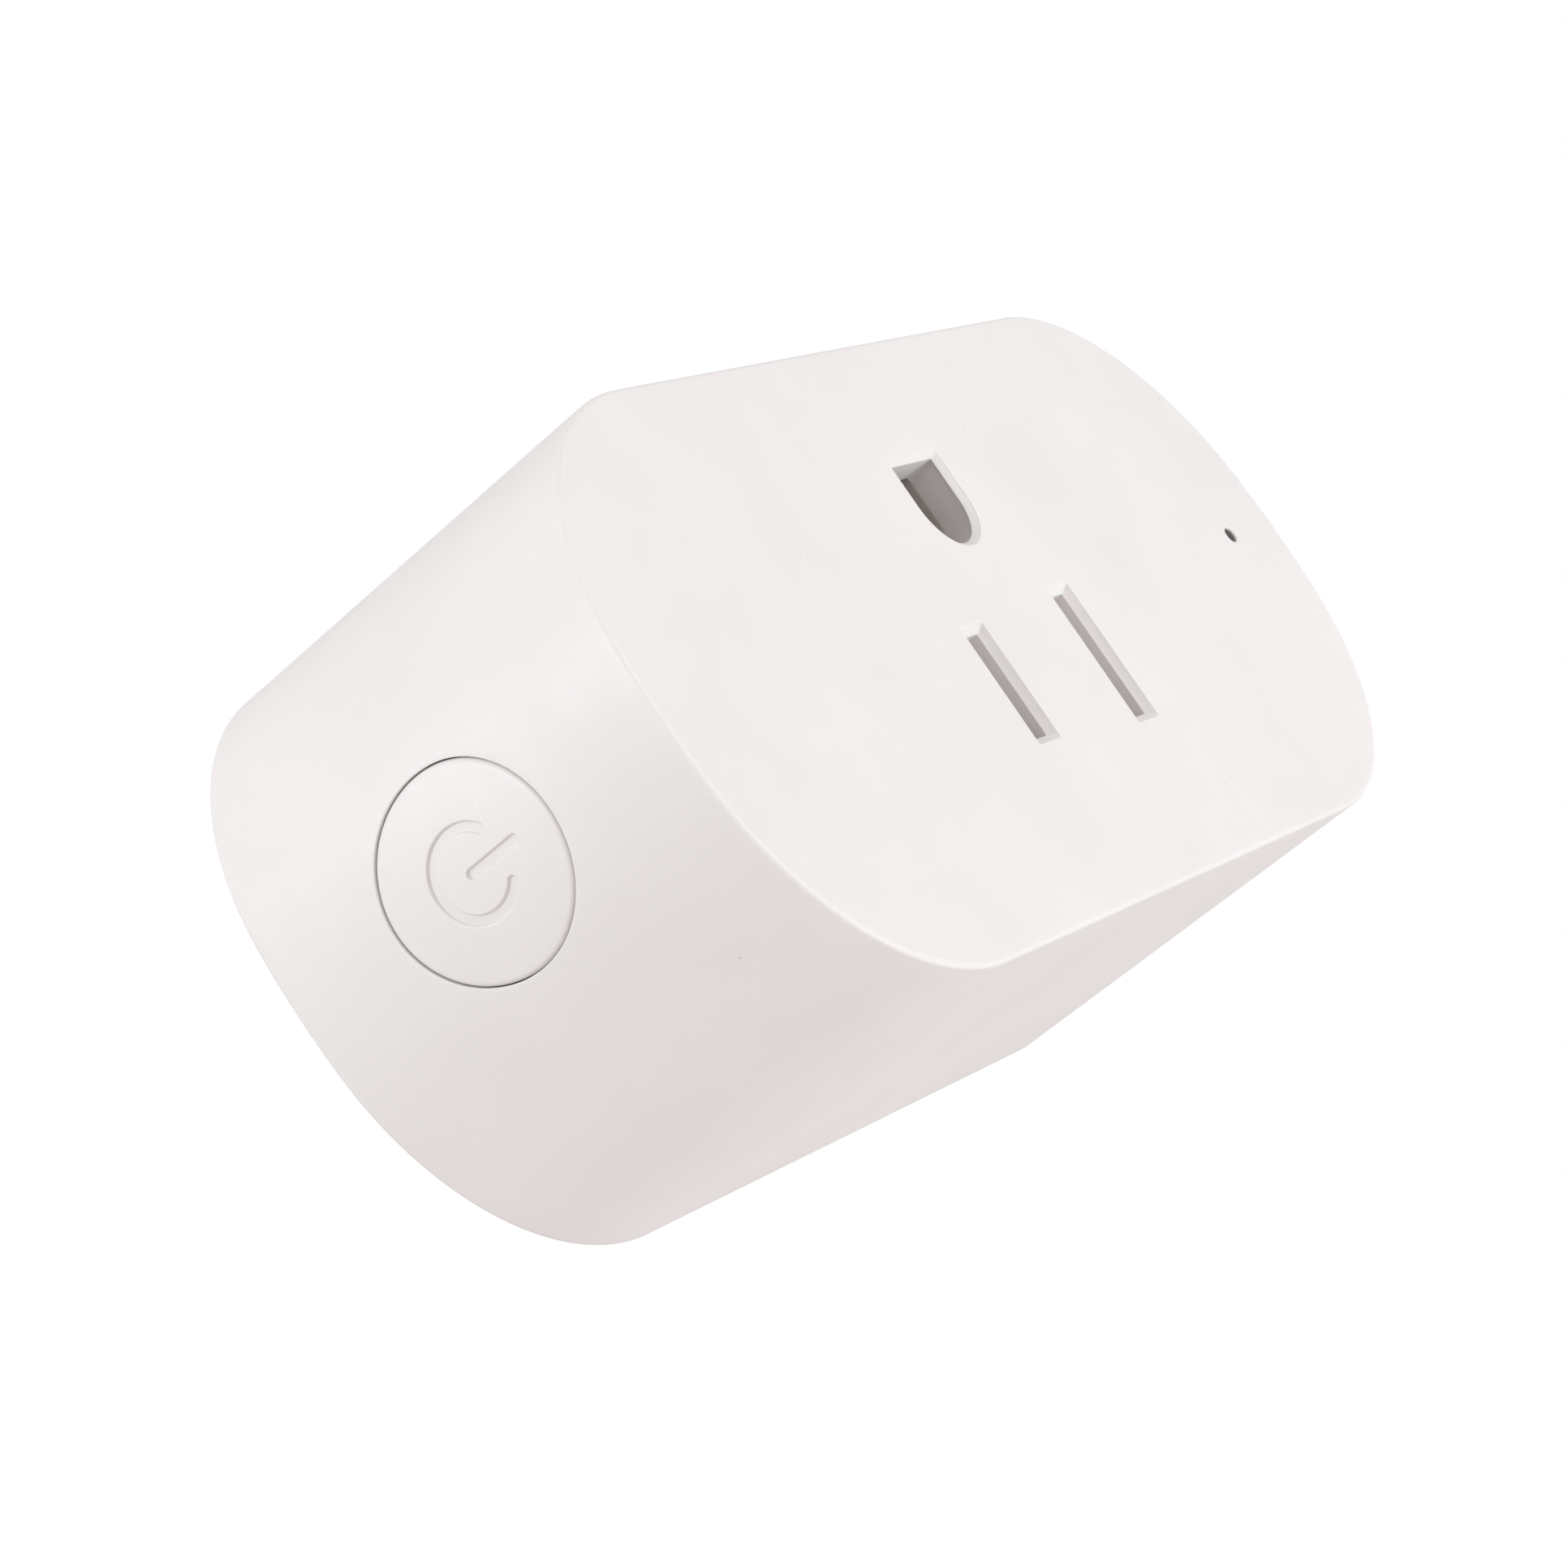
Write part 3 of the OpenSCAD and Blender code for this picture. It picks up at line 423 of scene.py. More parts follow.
steps = [(frame_out, FACE_IN - 3), (frame_in, FACE_IN - 3), (frame_in, FACE_IN)]
inside = housing.collar(roots[-1], [ring(p, h) for p, h in steps])
housing.web(outer[-1], mouths)
housing.web(inner[0], roots, up=False)
housing.web(inside, throats, up=False)


def finish(name, colour, roughness, metallic=0.0):
    """A new material with its shader, and two functions that add a node and join two sockets."""
    made = bpy.data.materials.new(name)
    made.use_nodes = True
    tree = made.node_tree
    shader = tree.nodes["Principled BSDF"]
    shader.inputs["Base Color"].default_value = (*colour, 1)
    shader.inputs["Roughness"].default_value = roughness
    shader.inputs["Metallic"].default_value = metallic

    def add(kind, inputs=(), **settings):
        node = tree.nodes.new(kind)
        for key, value in settings.items():
            setattr(node, key, value)
        for key, value in dict(inputs).items():
            node.inputs[key].default_value = value
        return node

    return made, shader, add, tree.links.new


def noise(add, join, place, size, detail=2.0, rough=0.5):
    """A noise of features size mm across, read at place; returns its value's socket."""
    node = add("ShaderNodeTexNoise", {"Scale": 1000 / size, "Detail": detail, "Roughness": rough})
    join(place, node.inputs["Vector"])
    return node.outputs["Fac"]


def spread(add, join, value, low, high, start=0.3, end=0.7):
    """A value carried from the range start to end onto low to high, and held beyond it."""
    limits = {"From Min": start, "From Max": end, "To Min": low, "To Max": high}
    node = add("ShaderNodeMapRange", limits)
    join(value, node.inputs["Value"])
    return node.outputs["Result"]


def times(add, join, value, other):
    """The product of a socket with another socket or with a plain number."""
    node = add("ShaderNodeMath", operation="MULTIPLY")
    join(value, node.inputs[0])
    if isinstance(other, float):
        node.inputs[1].default_value = other
    else:
        join(other, node.inputs[1])
    return node.outputs["Value"]


def raised(add, join, height, distance, below=None, strength=1.0):
    """A bump of the given height socket, distance mm deep, laid over the one below."""
    node = add("ShaderNodeBump", {"Strength": strength, "Distance": distance / 1000})
    join(height, node.inputs["Height"])
    if below:
        join(below, node.inputs["Normal"])
    return node.outputs["Normal"]


def mix_colours(add, join, amount, colour, other):
    """Mixes colour towards other by a factor socket; returns the mixed colour's socket."""
    mix = add("ShaderNodeMix", data_type="RGBA")
    join(amount, mix.inputs[0])
    for socket, value in ((mix.inputs[6], colour), (mix.inputs[7], other)):
        if isinstance(value, tuple):
            socket.default_value = (*value, 1)
        else:
            join(value, socket)
    return mix.outputs[2]


def moulded(name, colour, roughness=0.42, grain=0.22, depth=0.006, glow=0.0):
    """Moulded plastic: a grain of noise grain mm across and depth mm deep over a slower ripple,
    slow drift of colour and gloss, sparse pin specks, and convex edges that are rubbed glossier
    and lightened in colour as a painted edge highlight. The share glow of the light enters the
    plastic and comes out a little way off."""
    made, shader, add, join = finish(name, colour, roughness)
    place = add("ShaderNodeTexCoord").outputs["Object"]
    faded = tuple(c * 0.96 for c in colour)
    drift = spread(add, join, noise(add, join, place, 14), 0, 1)
    tone = mix_colours(add, join, drift, colour, faded)
    cells = add("ShaderNodeTexVoronoi", {"Scale": 1000 / 1.9, "Randomness": 1.0})
    join(place, cells.inputs["Vector"])
    chosen = add("ShaderNodeSeparateColor")
    join(cells.outputs["Color"], chosen.inputs["Color"])
    rare = spread(add, join, chosen.outputs["Red"], 0, 1, 0.93, 0.935)
    spot = spread(add, join, cells.outputs["Distance"], 1, 0, 0.03, 0.05)
    dark = tuple(c * 0.72 for c in colour)
    tone = mix_colours(add, join, times(add, join, rare, spot), tone, dark)
    # Convex edges, found by pointiness: their colour is lightened as a painted edge highlight, and their
    # roughness is lowered as rubbed polish.
    edge = add("ShaderNodeNewGeometry").outputs["Pointiness"]
    patchy = spread(add, join, noise(add, join, place, 2.4, 4), 0.2, 1)
    edge_highlight_and_polish_mask = times(add, join, spread(add, join, edge, 0, 1, 0.53, 0.62), patchy)
    edge_highlight_and_polish = times(add, join, edge_highlight_and_polish_mask, 0.25)
    # The painted edge highlight's colour, a little lighter than the plastic.
    light = tuple(min(1.0, c * 1.05) for c in colour)
    join(mix_colours(add, join, edge_highlight_and_polish, tone, light), shader.inputs["Base Color"])
    gloss = spread(add, join, noise(add, join, place, 3.1, 3), roughness - 0.05, roughness + 0.06)
    polish = add("ShaderNodeMath", {1: -0.3}, operation="MULTIPLY_ADD")
    join(edge_highlight_and_polish, polish.inputs[0])
    join(gloss, polish.inputs[2])
    join(polish.outputs["Value"], shader.inputs["Roughness"])
    ripple = raised(add, join, noise(add, join, place, 4.5, 1), 0.006)
    texture = raised(add, join, noise(add, join, place, grain, 3, 0.6), depth, ripple)
    join(texture, shader.inputs["Normal"])
    if glow:
        shader.inputs["Subsurface Weight"].default_value = glow
        shader.inputs["Subsurface Radius"].default_value = (1.0, 0.8, 0.75)
        shader.inputs["Subsurface Scale"].default_value = 0.0007
    return made


def placed(mould, name, material, slot, *nodes, body="plug_body"):
    """Finishes a new piece: its mesh, its material, its body, and the nodes it stands for."""
    made = mould.piece(name)
    made.data.materials.append(material)
    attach(made, body)
    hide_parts(*nodes)
    return made


WHITE = (0.80, 0.775, 0.767)
housing_white = moulded("housing_white_abs", WHITE, glow=0.2)
placed(housing, "front_housing_shell", housing_white, "white_plastic", "front_housing")


# ---- Power button ----
# A round cap of the same white plastic, shaped to follow the curve of the end. It slides in
# its hole, held behind the wall by a rim, and its stem meets the push switch. The symbol is
# sunk into it by the mould.

SYMBOL_R = 2.5
SYMBOL_HALF = 0.3
SYMBOL_DEPTH = 0.2
SYMBOL_SHOULDER = 0.12
SYMBOL_GAP = math.radians(42)
BAR_END = 3.3
BUTTON_ROUND = 0.3
CAP_R = BUTTON_R + 0.15
RIM_R = BUTTON_R + 0.9
RIM_X = (37.0, 37.9)
STEM_R = 1.6
STEM_X = 35.1
CAP_RINGS = 140


def symbol_sink(z, h):
    """Depth of the power symbol: full where a point is nearer than the stroke's half width to
    the open ring or to the bar, with a smooth cubic shoulder outside it."""
    r = np.hypot(z, h)
    turned = np.abs(np.arctan2(z, h))
    end = np.hypot(np.abs(z) - SYMBOL_R * math.sin(SYMBOL_GAP), h - SYMBOL_R * math.cos(SYMBOL_GAP))
    to_ring = np.where(turned > SYMBOL_GAP, np.abs(r - SYMBOL_R), end)
    to_bar = np.hypot(z, h - np.clip(h, 0, BAR_END))
    t = np.clip((np.minimum(to_ring, to_bar) - SYMBOL_HALF) / SYMBOL_SHOULDER + 0.5, 0, 1)
    return SYMBOL_DEPTH * (1 - t * t * (3 - 2 * t))


theta = np.linspace(0, 2 * math.pi, 480, endpoint=False)
cap = Moulding()
rows = []
stem = [(STEM_R, STEM_X), (STEM_R, RIM_X[0]), (RIM_R, RIM_X[0]), (RIM_R, RIM_X[1]), (CAP_R, RIM_X[1])]
for r, x in stem:
    level = np.full(len(theta), x)
    rows.append(np.column_stack([level, r * np.cos(theta), BUTTON_H + r * np.sin(theta)]))
for side, down in reversed([(0, 0), *rounding(BUTTON_ROUND)]):
    rows.append(end_ring(CAP_R - BUTTON_ROUND + side, 0, down))
for r in np.linspace(CAP_R - BUTTON_ROUND - 0.1, SYMBOL_HALF - SYMBOL_SHOULDER / 2, CAP_RINGS):
    made = end_ring(r, 0)
    made[:, 0] -= symbol_sink(made[:, 1], made[:, 2] - BUTTON_H)
    rows.append(made)
numbers = cap.add(np.array(rows))
cap.skin(numbers)
cap.web(numbers[0], up=False)
cap.web(numbers[-1], up=True)
button_white = moulded("button_white_abs", WHITE, 0.4, 0.25, 0.005, glow=0.2)
placed(cap, "power_button_cap", button_white, "button_plastic", "power_button", body="power_button")


# ---- Status light ----
# A stepped pin of smoked polycarbonate pressed into the sleeve behind the small hole in the
# face. It carries the light of a chip LED on the board up to the surface.


def cast_clear(name, colour, roughness, milk):
    """Clear or milky resin: light passes through it, tinted, with slow change of gloss and a
    faint moulding ripple."""
    made, shader, add, join = finish(name, colour, roughness)
    place = add("ShaderNodeTexCoord").outputs["Object"]
    flow = noise(add, join, place, 1000 / 900, 3)
    dull = tuple(c * 0.9 for c in colour)
    join(mix_colours(add, join, flow, colour, dull), shader.inputs["Base Color"])
    gloss = spread(add, join, flow, roughness - 0.05, roughness + 0.12, 0, 1)
    join(gloss, shader.inputs["Roughness"])
    join(raised(add, join, flow, 0.01, strength=0.6), shader.inputs["Normal"])
    shader.inputs["Transmission Weight"].default_value = 1 - milk
    shader.inputs["IOR"].default_value = 1.58
    return made


def dressed(node, material):
    """Gives a CAD node that stays as it is its finish."""
    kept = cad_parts[node]
    kept.data.materials.clear()
    kept.data.materials.append(material)
    return kept


PIPE_FOOT_R = 1.6
FOOT_LOW = BOARD_TOP + 1.2
FOOT_HIGH = BOARD_TOP + 4.2
PIPE_TOP = FACE_IN + 0.8
TIP_R = LIGHT_R - FIT
TIP_TOP = BODY_D - 0.1

pipe = Moulding()
steps = [(PIPE_FOOT_R - 0.15, FOOT_LOW), (PIPE_FOOT_R, FOOT_LOW + 0.15), (PIPE_FOOT_R, FOOT_HIGH - 0.15)]
steps += [(PIPE_FOOT_R - 0.1, FOOT_HIGH), (PIPE_R, FOOT_HIGH + 0.05), (PIPE_R, PIPE_TOP - 0.2)]
steps += [(PIPE_R - 0.2, PIPE_TOP), (TIP_R, PIPE_TOP)]
steps += [(TIP_R, TIP_TOP - 0.06), (TIP_R - 0.04, TIP_TOP - 0.02), (TIP_R - 0.3, TIP_TOP)]
turned(pipe, LIGHT_X, LIGHT_Z, steps)
smoked = cast_clear("light_pipe_smoked", (0.05, 0.05, 0.055), 0.15, 0.3)
placed(pipe, "light_pipe_pin", smoked, "clear_plastic", "light_pipe")
dressed("status_led", cast_clear("led_lens", (0.95, 0.86, 0.55), 0.2, 0.7))


# ---- Rear cover ----
# A flat white ABS plate, moulded in one shot, that closes the back. Four snap hooks hold it in
# the rebate, and collars on its inside keep the blades' feet and the ground pin's head in line.

COVER_EDGE = COVER_INSET + 0.05
BLADE_HALF = 0.75
FOOT_HALF = 2.2
COLLAR_TOP = COVER_T + 1.8
PIN_SEAT_R = 2.675
PIN_HEAD_R = 3.8
LINE_HALF = 3.175
NEUTRAL_HALF = 3.95
COLLAR_WALL = 1.2
COLLAR_SOFT = 0.15
HOLE_SOFT = 0.12
COVER_ROUND = 0.25
HOOK_HALF = 3.0

cover = Moulding()
soft = [(COVER_EDGE + COVER_ROUND - side, down) for side, down in [(0, 0), *rounding(COVER_ROUND, 5)]]
soft += [(COVER_EDGE, COVER_T - 0.1), (COVER_EDGE + 0.1, COVER_T)]
loops = [ring(outline(inset), h) for inset, h in soft]
back = cover.add(loops[0])
top = cover.collar(back, loops[1:])
slots = []
roots = []
for x, half in ((LINE_X, LINE_HALF), (NEUTRAL_X, NEUTRAL_HALF)):
    def around(side_x, side_z, grow=0.0, corner=0.3):
        box = (x - side_x, x + side_x, BLADE_Z - side_z, BLADE_Z + side_z)
        return rounded_loop(*box, [corner] * 4, grow, 4)

    foot = half + 1
    slot = around(BLADE_HALF + FIT, half + FIT, corner=0.1)
    wall = around(FOOT_HALF + COLLAR_WALL, foot + COLLAR_WALL)
    brim = around(FOOT_HALF + COLLAR_WALL, foot + COLLAR_WALL, -COLLAR_SOFT)
    seat = around(FOOT_HALF + FIT, foot + FIT)
    steps = [(wall, COVER_T), (wall, COLLAR_TOP - COLLAR_SOFT), (brim, COLLAR_TOP), (seat, COLLAR_TOP)]
    steps += [(seat, COVER_T), (slot, COVER_T), (slot, HOLE_SOFT)]
    steps.append((around(BLADE_HALF + FIT, half + FIT, HOLE_SOFT, 0.1), 0))
    roots.append(cover.add(ring(*steps[0])))
    slots.append(cover.collar(roots[-1], [ring(p, h) for p, h in steps[1:]]))
wall_r = PIN_HEAD_R + COLLAR_WALL
collar = [(wall_r, COVER_T), (wall_r, COLLAR_TOP - COLLAR_SOFT), (wall_r - COLLAR_SOFT, COLLAR_TOP)]
collar += [(PIN_HEAD_R + FIT, COLLAR_TOP), (PIN_HEAD_R + FIT, COVER_T), (PIN_SEAT_R + FIT, COVER_T)]
collar += [(PIN_SEAT_R + FIT, HOLE_SOFT), (PIN_SEAT_R + FIT + HOLE_SOFT, 0)]
loops = [ring(circle(RECEPTACLE_X, GROUND_Z, r, 64), h) for r, h in collar]
roots.append(cover.add(loops[0]))
slots.append(cover.collar(roots[-1], loops[1:]))
cover.web(top, roots)
cover.web(back, slots, up=False)

# One snap hook's side, as z and height: the arm's foot in the plate, then the barb.
hook_side = [(15.7, 2.0), (16.8, 2.0), (16.8, 4.5), (17.5, 4.55), (17.5, 4.8), (16.8, 5.5), (15.7, 5.5)]
for sx in (-1, 1):
    for sz in (-1, 1):
        z, h = np.array(hook_side[::sz]).T
        ends = (sx * HOOK_X - HOOK_HALF, sx * HOOK_X + HOOK_HALF)
        loops = [np.column_stack([np.full(len(z), x), sz * z, h]) for x in ends]
        first = cover.add(loops[0])
        last = cover.collar(first, loops[1:])
        cover.web(first, up=False)
        cover.web(last, up=True)
cover_white = moulded("cover_white_abs", (0.765, 0.75, 0.74), 0.5, 0.3, 0.009)
placed(cover, "rear_cover_plate", cover_white, "white_plastic", "rear_cover")


# ---- Wall plug ----
# Two blades stamped from nickel-plated brass strip, with rounded tips, a locating hole and a
# foot that bears on the rear cover, and a ground pin turned from rod and riveted into the
# ground contact.

BLADE_LEN = 17.5
TIP_BEVEL = 1.2
TIP_TAPER = 1.5
HOLE_UP = 5.6
BLADE_HOLE_R = 1.6
FOOT_T = 1.2
TAB_HALF = 0.4
BLADE_TAB_Z = BLADE_Z + 1.9
BLADE_CELLS = (2, 14, 2)
BLADE_ROUND = 0.14
NOSE_ROUND = 0.15
PIN_R = 2.375
PIN_LEN = 20.6


def metal(name, colour, roughness, along="Z", tarnish=0.8):
    """Plated or drawn metal: fine lines stretched along one axis, patches of tarnish, dents and
    handling marks in the gloss, and a painted highlight that makes convex edges brighter."""
    made, shader, add, join = finish(name, colour, roughness, 1.0)
    place = add("ShaderNodeTexCoord").outputs["Object"]
    stretch = {"X": (0.04, 1, 1), "Y": (1, 0.04, 1), "Z": (1, 1, 0.04)}[along]
    turn = add("ShaderNodeMapping", {"Scale": stretch})
    join(place, turn.inputs["Vector"])
    lines = noise(add, join, turn.outputs["Vector"], 0.12, 4, 0.6)
    patches = noise(add, join, place, 2.6, 5, 0.6)
    dull = tuple(c * t for c, t in zip(colour, (tarnish, tarnish * 0.97, tarnish * 0.9)))
    tone = mix_colours(add, join, spread(add, join, patches, 0, 0.8, 0.45, 0.75), colour, dull)
    # Painted highlight: convex edges, found by pointiness, are lightened in colour.
    edge = add("ShaderNodeNewGeometry").outputs["Pointiness"]
    painted_edge_glint = tuple(min(1.0, c * 1.12) for c in colour)
    tone = mix_colours(add, join, spread(add, join, edge, 0, 0.6, 0.52, 0.6), tone, painted_edge_glint)
    join(tone, shader.inputs["Base Color"])
    gloss = spread(add, join, lines, roughness - 0.08, roughness + 0.1)
    gloss = times(add, join, gloss, spread(add, join, patches, 0.85, 1.35))
    join(gloss, shader.inputs["Roughness"])
    join(raised(add, join, lines, 0.004), shader.inputs["Normal"])
    return made


def blade_loop(half, thick):
    """One blade section: a rectangle of half width and half thickness with quarter arcs at its
    corners and extra points along its two wide sides."""
    r = min(BLADE_ROUND, 0.45 * thick)
    inner = min(2.2, half - r - 0.1)
    z = spaced([r - half, -inner, inner, half - r], BLADE_CELLS)
    a = np.linspace(0, math.pi / 2, 5)[1:-1]
    wide = np.stack([np.full(len(z), thick), z], 1)
    arc_up = np.stack([thick - r + r * np.cos(a), half - r + r * np.sin(a)], 1)
    ends = np.array([[thick - r, half], [r - thick, half]])
    arc_on = np.stack([r - thick - r * np.sin(a), half - r + r * np.cos(a)], 1)
    half_loop = np.concatenate([wide, arc_up, ends, arc_on])
    return np.concatenate([half_loop, -half_loop])


def blade(name, x, half, node):
    """A blade: sections carried from tip to foot, drawn in at the tip by the bevel and taper,
    with a round hole through both wide sides, and below it the foot and the solder tab."""
    made = Moulding()
    tip = [*np.linspace(0, NOSE_ROUND, 5), 0.35, 0.6, 0.9, TIP_BEVEL, TIP_TAPER, 2.4]
    by_hole = np.linspace(HOLE_UP - 2.2, HOLE_UP + 2.2, 15)
    shank = np.linspace(9.5, BLADE_LEN + COVER_T, 6)
    loops = []
    for up in (*tip, *by_hole, *shank):
        nose = NOSE_ROUND - math.sqrt(NOSE_ROUND**2 - max(NOSE_ROUND - up, 0) ** 2)
        w = half - max(TIP_BEVEL - up, 0) - nose
        t = BLADE_HALF - 0.45 * max(1 - up / TIP_TAPER, 0) - nose
        loops.append(ring(blade_loop(w, t), up - BLADE_LEN) + [x, BLADE_Z, 0])
    grid = made.add(np.array(loops))
    rows = (len(tip), len(tip) + len(by_hole) - 1)
    half_turn = grid.shape[1] // 2
    edge, middle = BLADE_CELLS[:2]
    sides = [(t + edge, t + edge + middle) for t in (0, half_turn)]
    keep = outside((len(grid) - 1, grid.shape[1]), rows, sides[0])
    keep &= outside(keep.shape, rows, sides[1])
    made.skin(grid, keep)
    made.web(grid[0], up=False)
    made.web(grid[-1], up=True)
    front, back = (block(grid, rows, cols) for cols in sides)
    every = np.concatenate(made.points)
    p, q = every[front], every[back]
    match = np.argmin(np.hypot(p[:, None, 1] - q[None, :, 1], p[:, None, 2] - q[None, :, 2]), 1)
    centre = np.array([x, BLADE_Z, HOLE_UP - BLADE_LEN])
    angle = np.arctan2(p[:, 2] - centre[2], p[:, 1] - centre[1])

    def hole(radius, side):
        return np.column_stack([np.full(len(angle), x + side), centre[1] + radius * np.cos(angle),
                                centre[2] + radius * np.sin(angle)])

    soft = [(0, 0), *rounding(HOLE_SOFT, 4)]
    lip = [(BLADE_HOLE_R + HOLE_SOFT - side, BLADE_HALF - down) for side, down in soft]
    steps = lip + [(r, -t) for r, t in lip[::-1]]
    made.skin([made.collar(front, [hole(r, t) for r, t in steps]), back[match]])
    foot = half + 1
    foot_box = (x - FOOT_HALF, x + FOOT_HALF, BLADE_Z - foot, BLADE_Z + foot)
    tab_box = (x - TAB_HALF, x + TAB_HALF, BLADE_TAB_Z - 1.5, BLADE_TAB_Z + 1.5)
    bar(made, *foot_box, COVER_T, COVER_T + FOOT_T, 0.12, 0.3)
    bar(made, *tab_box, COVER_T + FOOT_T - 0.1, BOARD_TOP + 1, 0.08)
    return placed(made, name, nickel, "blade_brass", node)


nickel = metal("nickel_plated_brass", (0.78, 0.755, 0.70), 0.24, "Y")
blade("line_blade_plate", LINE_X, LINE_HALF, "line_blade")
blade("neutral_blade_plate", NEUTRAL_X, NEUTRAL_HALF, "neutral_blade")

HEAD_TOP = COVER_T + FOOT_T
RIVET_R = 1.45
RIVET_LOW = BOARD_TOP + 5.2

pin = Moulding()
nose = np.linspace(-88, 0, 18) * math.pi / 180
steps = [(PIN_R * math.cos(a), PIN_R - PIN_LEN + PIN_R * math.sin(a)) for a in nose]
steps += [(PIN_R, -6), (PIN_R, -0.1), (PIN_R + 0.1, 0.02), (PIN_SEAT_R - 0.1, 0.02), (PIN_SEAT_R, 0.12)]
steps += [(PIN_SEAT_R, COVER_T), (PIN_HEAD_R - 0.1, COVER_T), (PIN_HEAD_R, COVER_T + 0.1)]
steps += [(PIN_HEAD_R, HEAD_TOP - 0.1), (PIN_HEAD_R - 0.1, HEAD_TOP), (RIVET_R, HEAD_TOP)]
steps += [(RIVET_R, RIVET_LOW), (2.0, RIVET_LOW + 0.05), (1.95, RIVET_LOW + 0.4)]
steps += [(1.5, RIVET_LOW + 0.65), (0.6, RIVET_LOW + 0.7)]
turned(pin, RECEPTACLE_X, GROUND_Z, steps, 64)
placed(pin, "ground_pin_rod", nickel, "blade_brass", "ground_pin")


# ---- Receptacle ----
# A block of warm grey heat-resistant PBT behind the face holds three stamped, sprung bronze
# contacts. A sliding acetal shutter closes both slots until the two blades of a plug press on
# its slopes together, and a small coil spring pushes it back.

carrier_grey = moulded("carrier_grey_pbt", (0.52, 0.475, 0.455), 0.5, 0.35, 0.01)
shutter_pale = moulded("shutter_pale_pom", (0.66, 0.60, 0.58), 0.38, 0.3, 0.005)
dressed("contact_carrier", carrier_grey)
dressed("safety_shutter", shutter_pale)
bronze = metal("phosphor_bronze", (0.78, 0.56, 0.33), 0.3, "Y", 0.7)
for node in ("line_contact", "neutral_contact", "ground_contact"):
    dressed(node, bronze)

SHUTTER_EDGE = LINE_X + 2.2
SPRING_END = 12.0
SPRING_R = 0.95
SPRING_WIRE = 0.14
SPRING_TURNS = 6
SPRING_H = FACE_IN - 1.2


def coil(start, end, radius, wire, turns, centre, per_turn=40, sides=10):
    """A coil spring along x: a round wire carried along a helix, its place the axis plus radius
    times cosine and sine of the turn, and its ends closed."""
    made = Moulding()
    t = np.linspace(0, 2 * math.pi * turns, per_turn * turns + 1)[:, None]
    k = np.linspace(0, 2 * math.pi, sides, endpoint=False)[None, :]
    reach = start + wire + (end - start - 2 * wire) * t / t[-1]
    out = radius + wire * np.cos(k)
    grid = np.stack([reach + wire * np.sin(k), centre[0] + out * np.cos(t), centre[1] + out * np.sin(t)], 2)
    numbers = made.add(grid[:, ::-1])
    made.skin(numbers)
    made.faces += [numbers[0][::-1].tolist(), numbers[-1].tolist()]
    return made


reach = (SHUTTER_EDGE + 0.3, SPRING_END - 0.02)
spring = coil(*reach, SPRING_R, SPRING_WIRE, SPRING_TURNS, (BLADE_Z, SPRING_H))
spring_steel = metal("spring_steel", (0.62, 0.62, 0.61), 0.22, "X", 0.75)
coil_piece = placed(spring, "shutter_spring_coil", spring_steel, "spring_steel", "shutter_spring")
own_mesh(coil_piece)


# ---- Copper straps ----
# Three tinned copper strips soldered to the back of the board carry the load current: one
# from neutral blade to neutral contact, one to the relay, one from the relay to the line
# contact.

strap_copper = metal("strap_copper", (0.80, 0.45, 0.30), 0.32, "X", 0.6)
for node in ("neutral_strap", "line_input_strap", "line_output_strap"):
    dressed(node, strap_copper)


# ---- Boards ----
# A green glass-epoxy main board screwed to the housing's four posts with cross-head screws,
# and a small upright board at the button end that carries the push switch and the radio
# module, joined to it by a six-pin right-angle header.


def laminate(name, mask, core, pitch, across):
    """Glass-epoxy board: a solder mask over a faint grid of raised tracks, bare weave-coloured
    core on its cut edges, which don't face along the axis across, and small changes of gloss."""
    made, shader, add, join = finish(name, mask, 0.38)
    place = add("ShaderNodeTexCoord").outputs["Object"]
    cells = {"Scale": 1000 / pitch, "Randomness": 0.35}
    tracks = add("ShaderNodeTexVoronoi", cells, distance="MANHATTAN", feature="F1")
    join(place, tracks.inputs["Vector"])
    line = spread(add, join, tracks.outputs["Distance"], 0, 1, 0.42, 0.5)
    lighter = tuple(min(1.0, c * 1.5 + 0.01) for c in mask)
    tone = mix_colours(add, join, line, mask, lighter)
    blur = noise(add, join, place, 1000 / 350, 3)
    shade = spread(add, join, blur, 0, 0.35, 0.35, 0.65)
    tone = mix_colours(add, join, shade, tone, tuple(c * 0.7 for c in mask))
    split = add("ShaderNodeSeparateXYZ")
    join(add("ShaderNodeNewGeometry").outputs["Normal"], split.inputs["Vector"])
    facing = add("ShaderNodeMath", operation="ABSOLUTE")
    join(split.outputs[across], facing.inputs[0])
    cut = spread(add, join, facing.outputs["Value"], 1, 0, 0.5, 0.6)
    join(mix_colours(add, join, cut, tone, core), shader.inputs["Base Color"])
    join(spread(add, join, blur, 0.28, 0.5, 0, 1), shader.inputs["Roughness"])
    join(raised(add, join, line, 0.02), shader.inputs["Normal"])
    return made


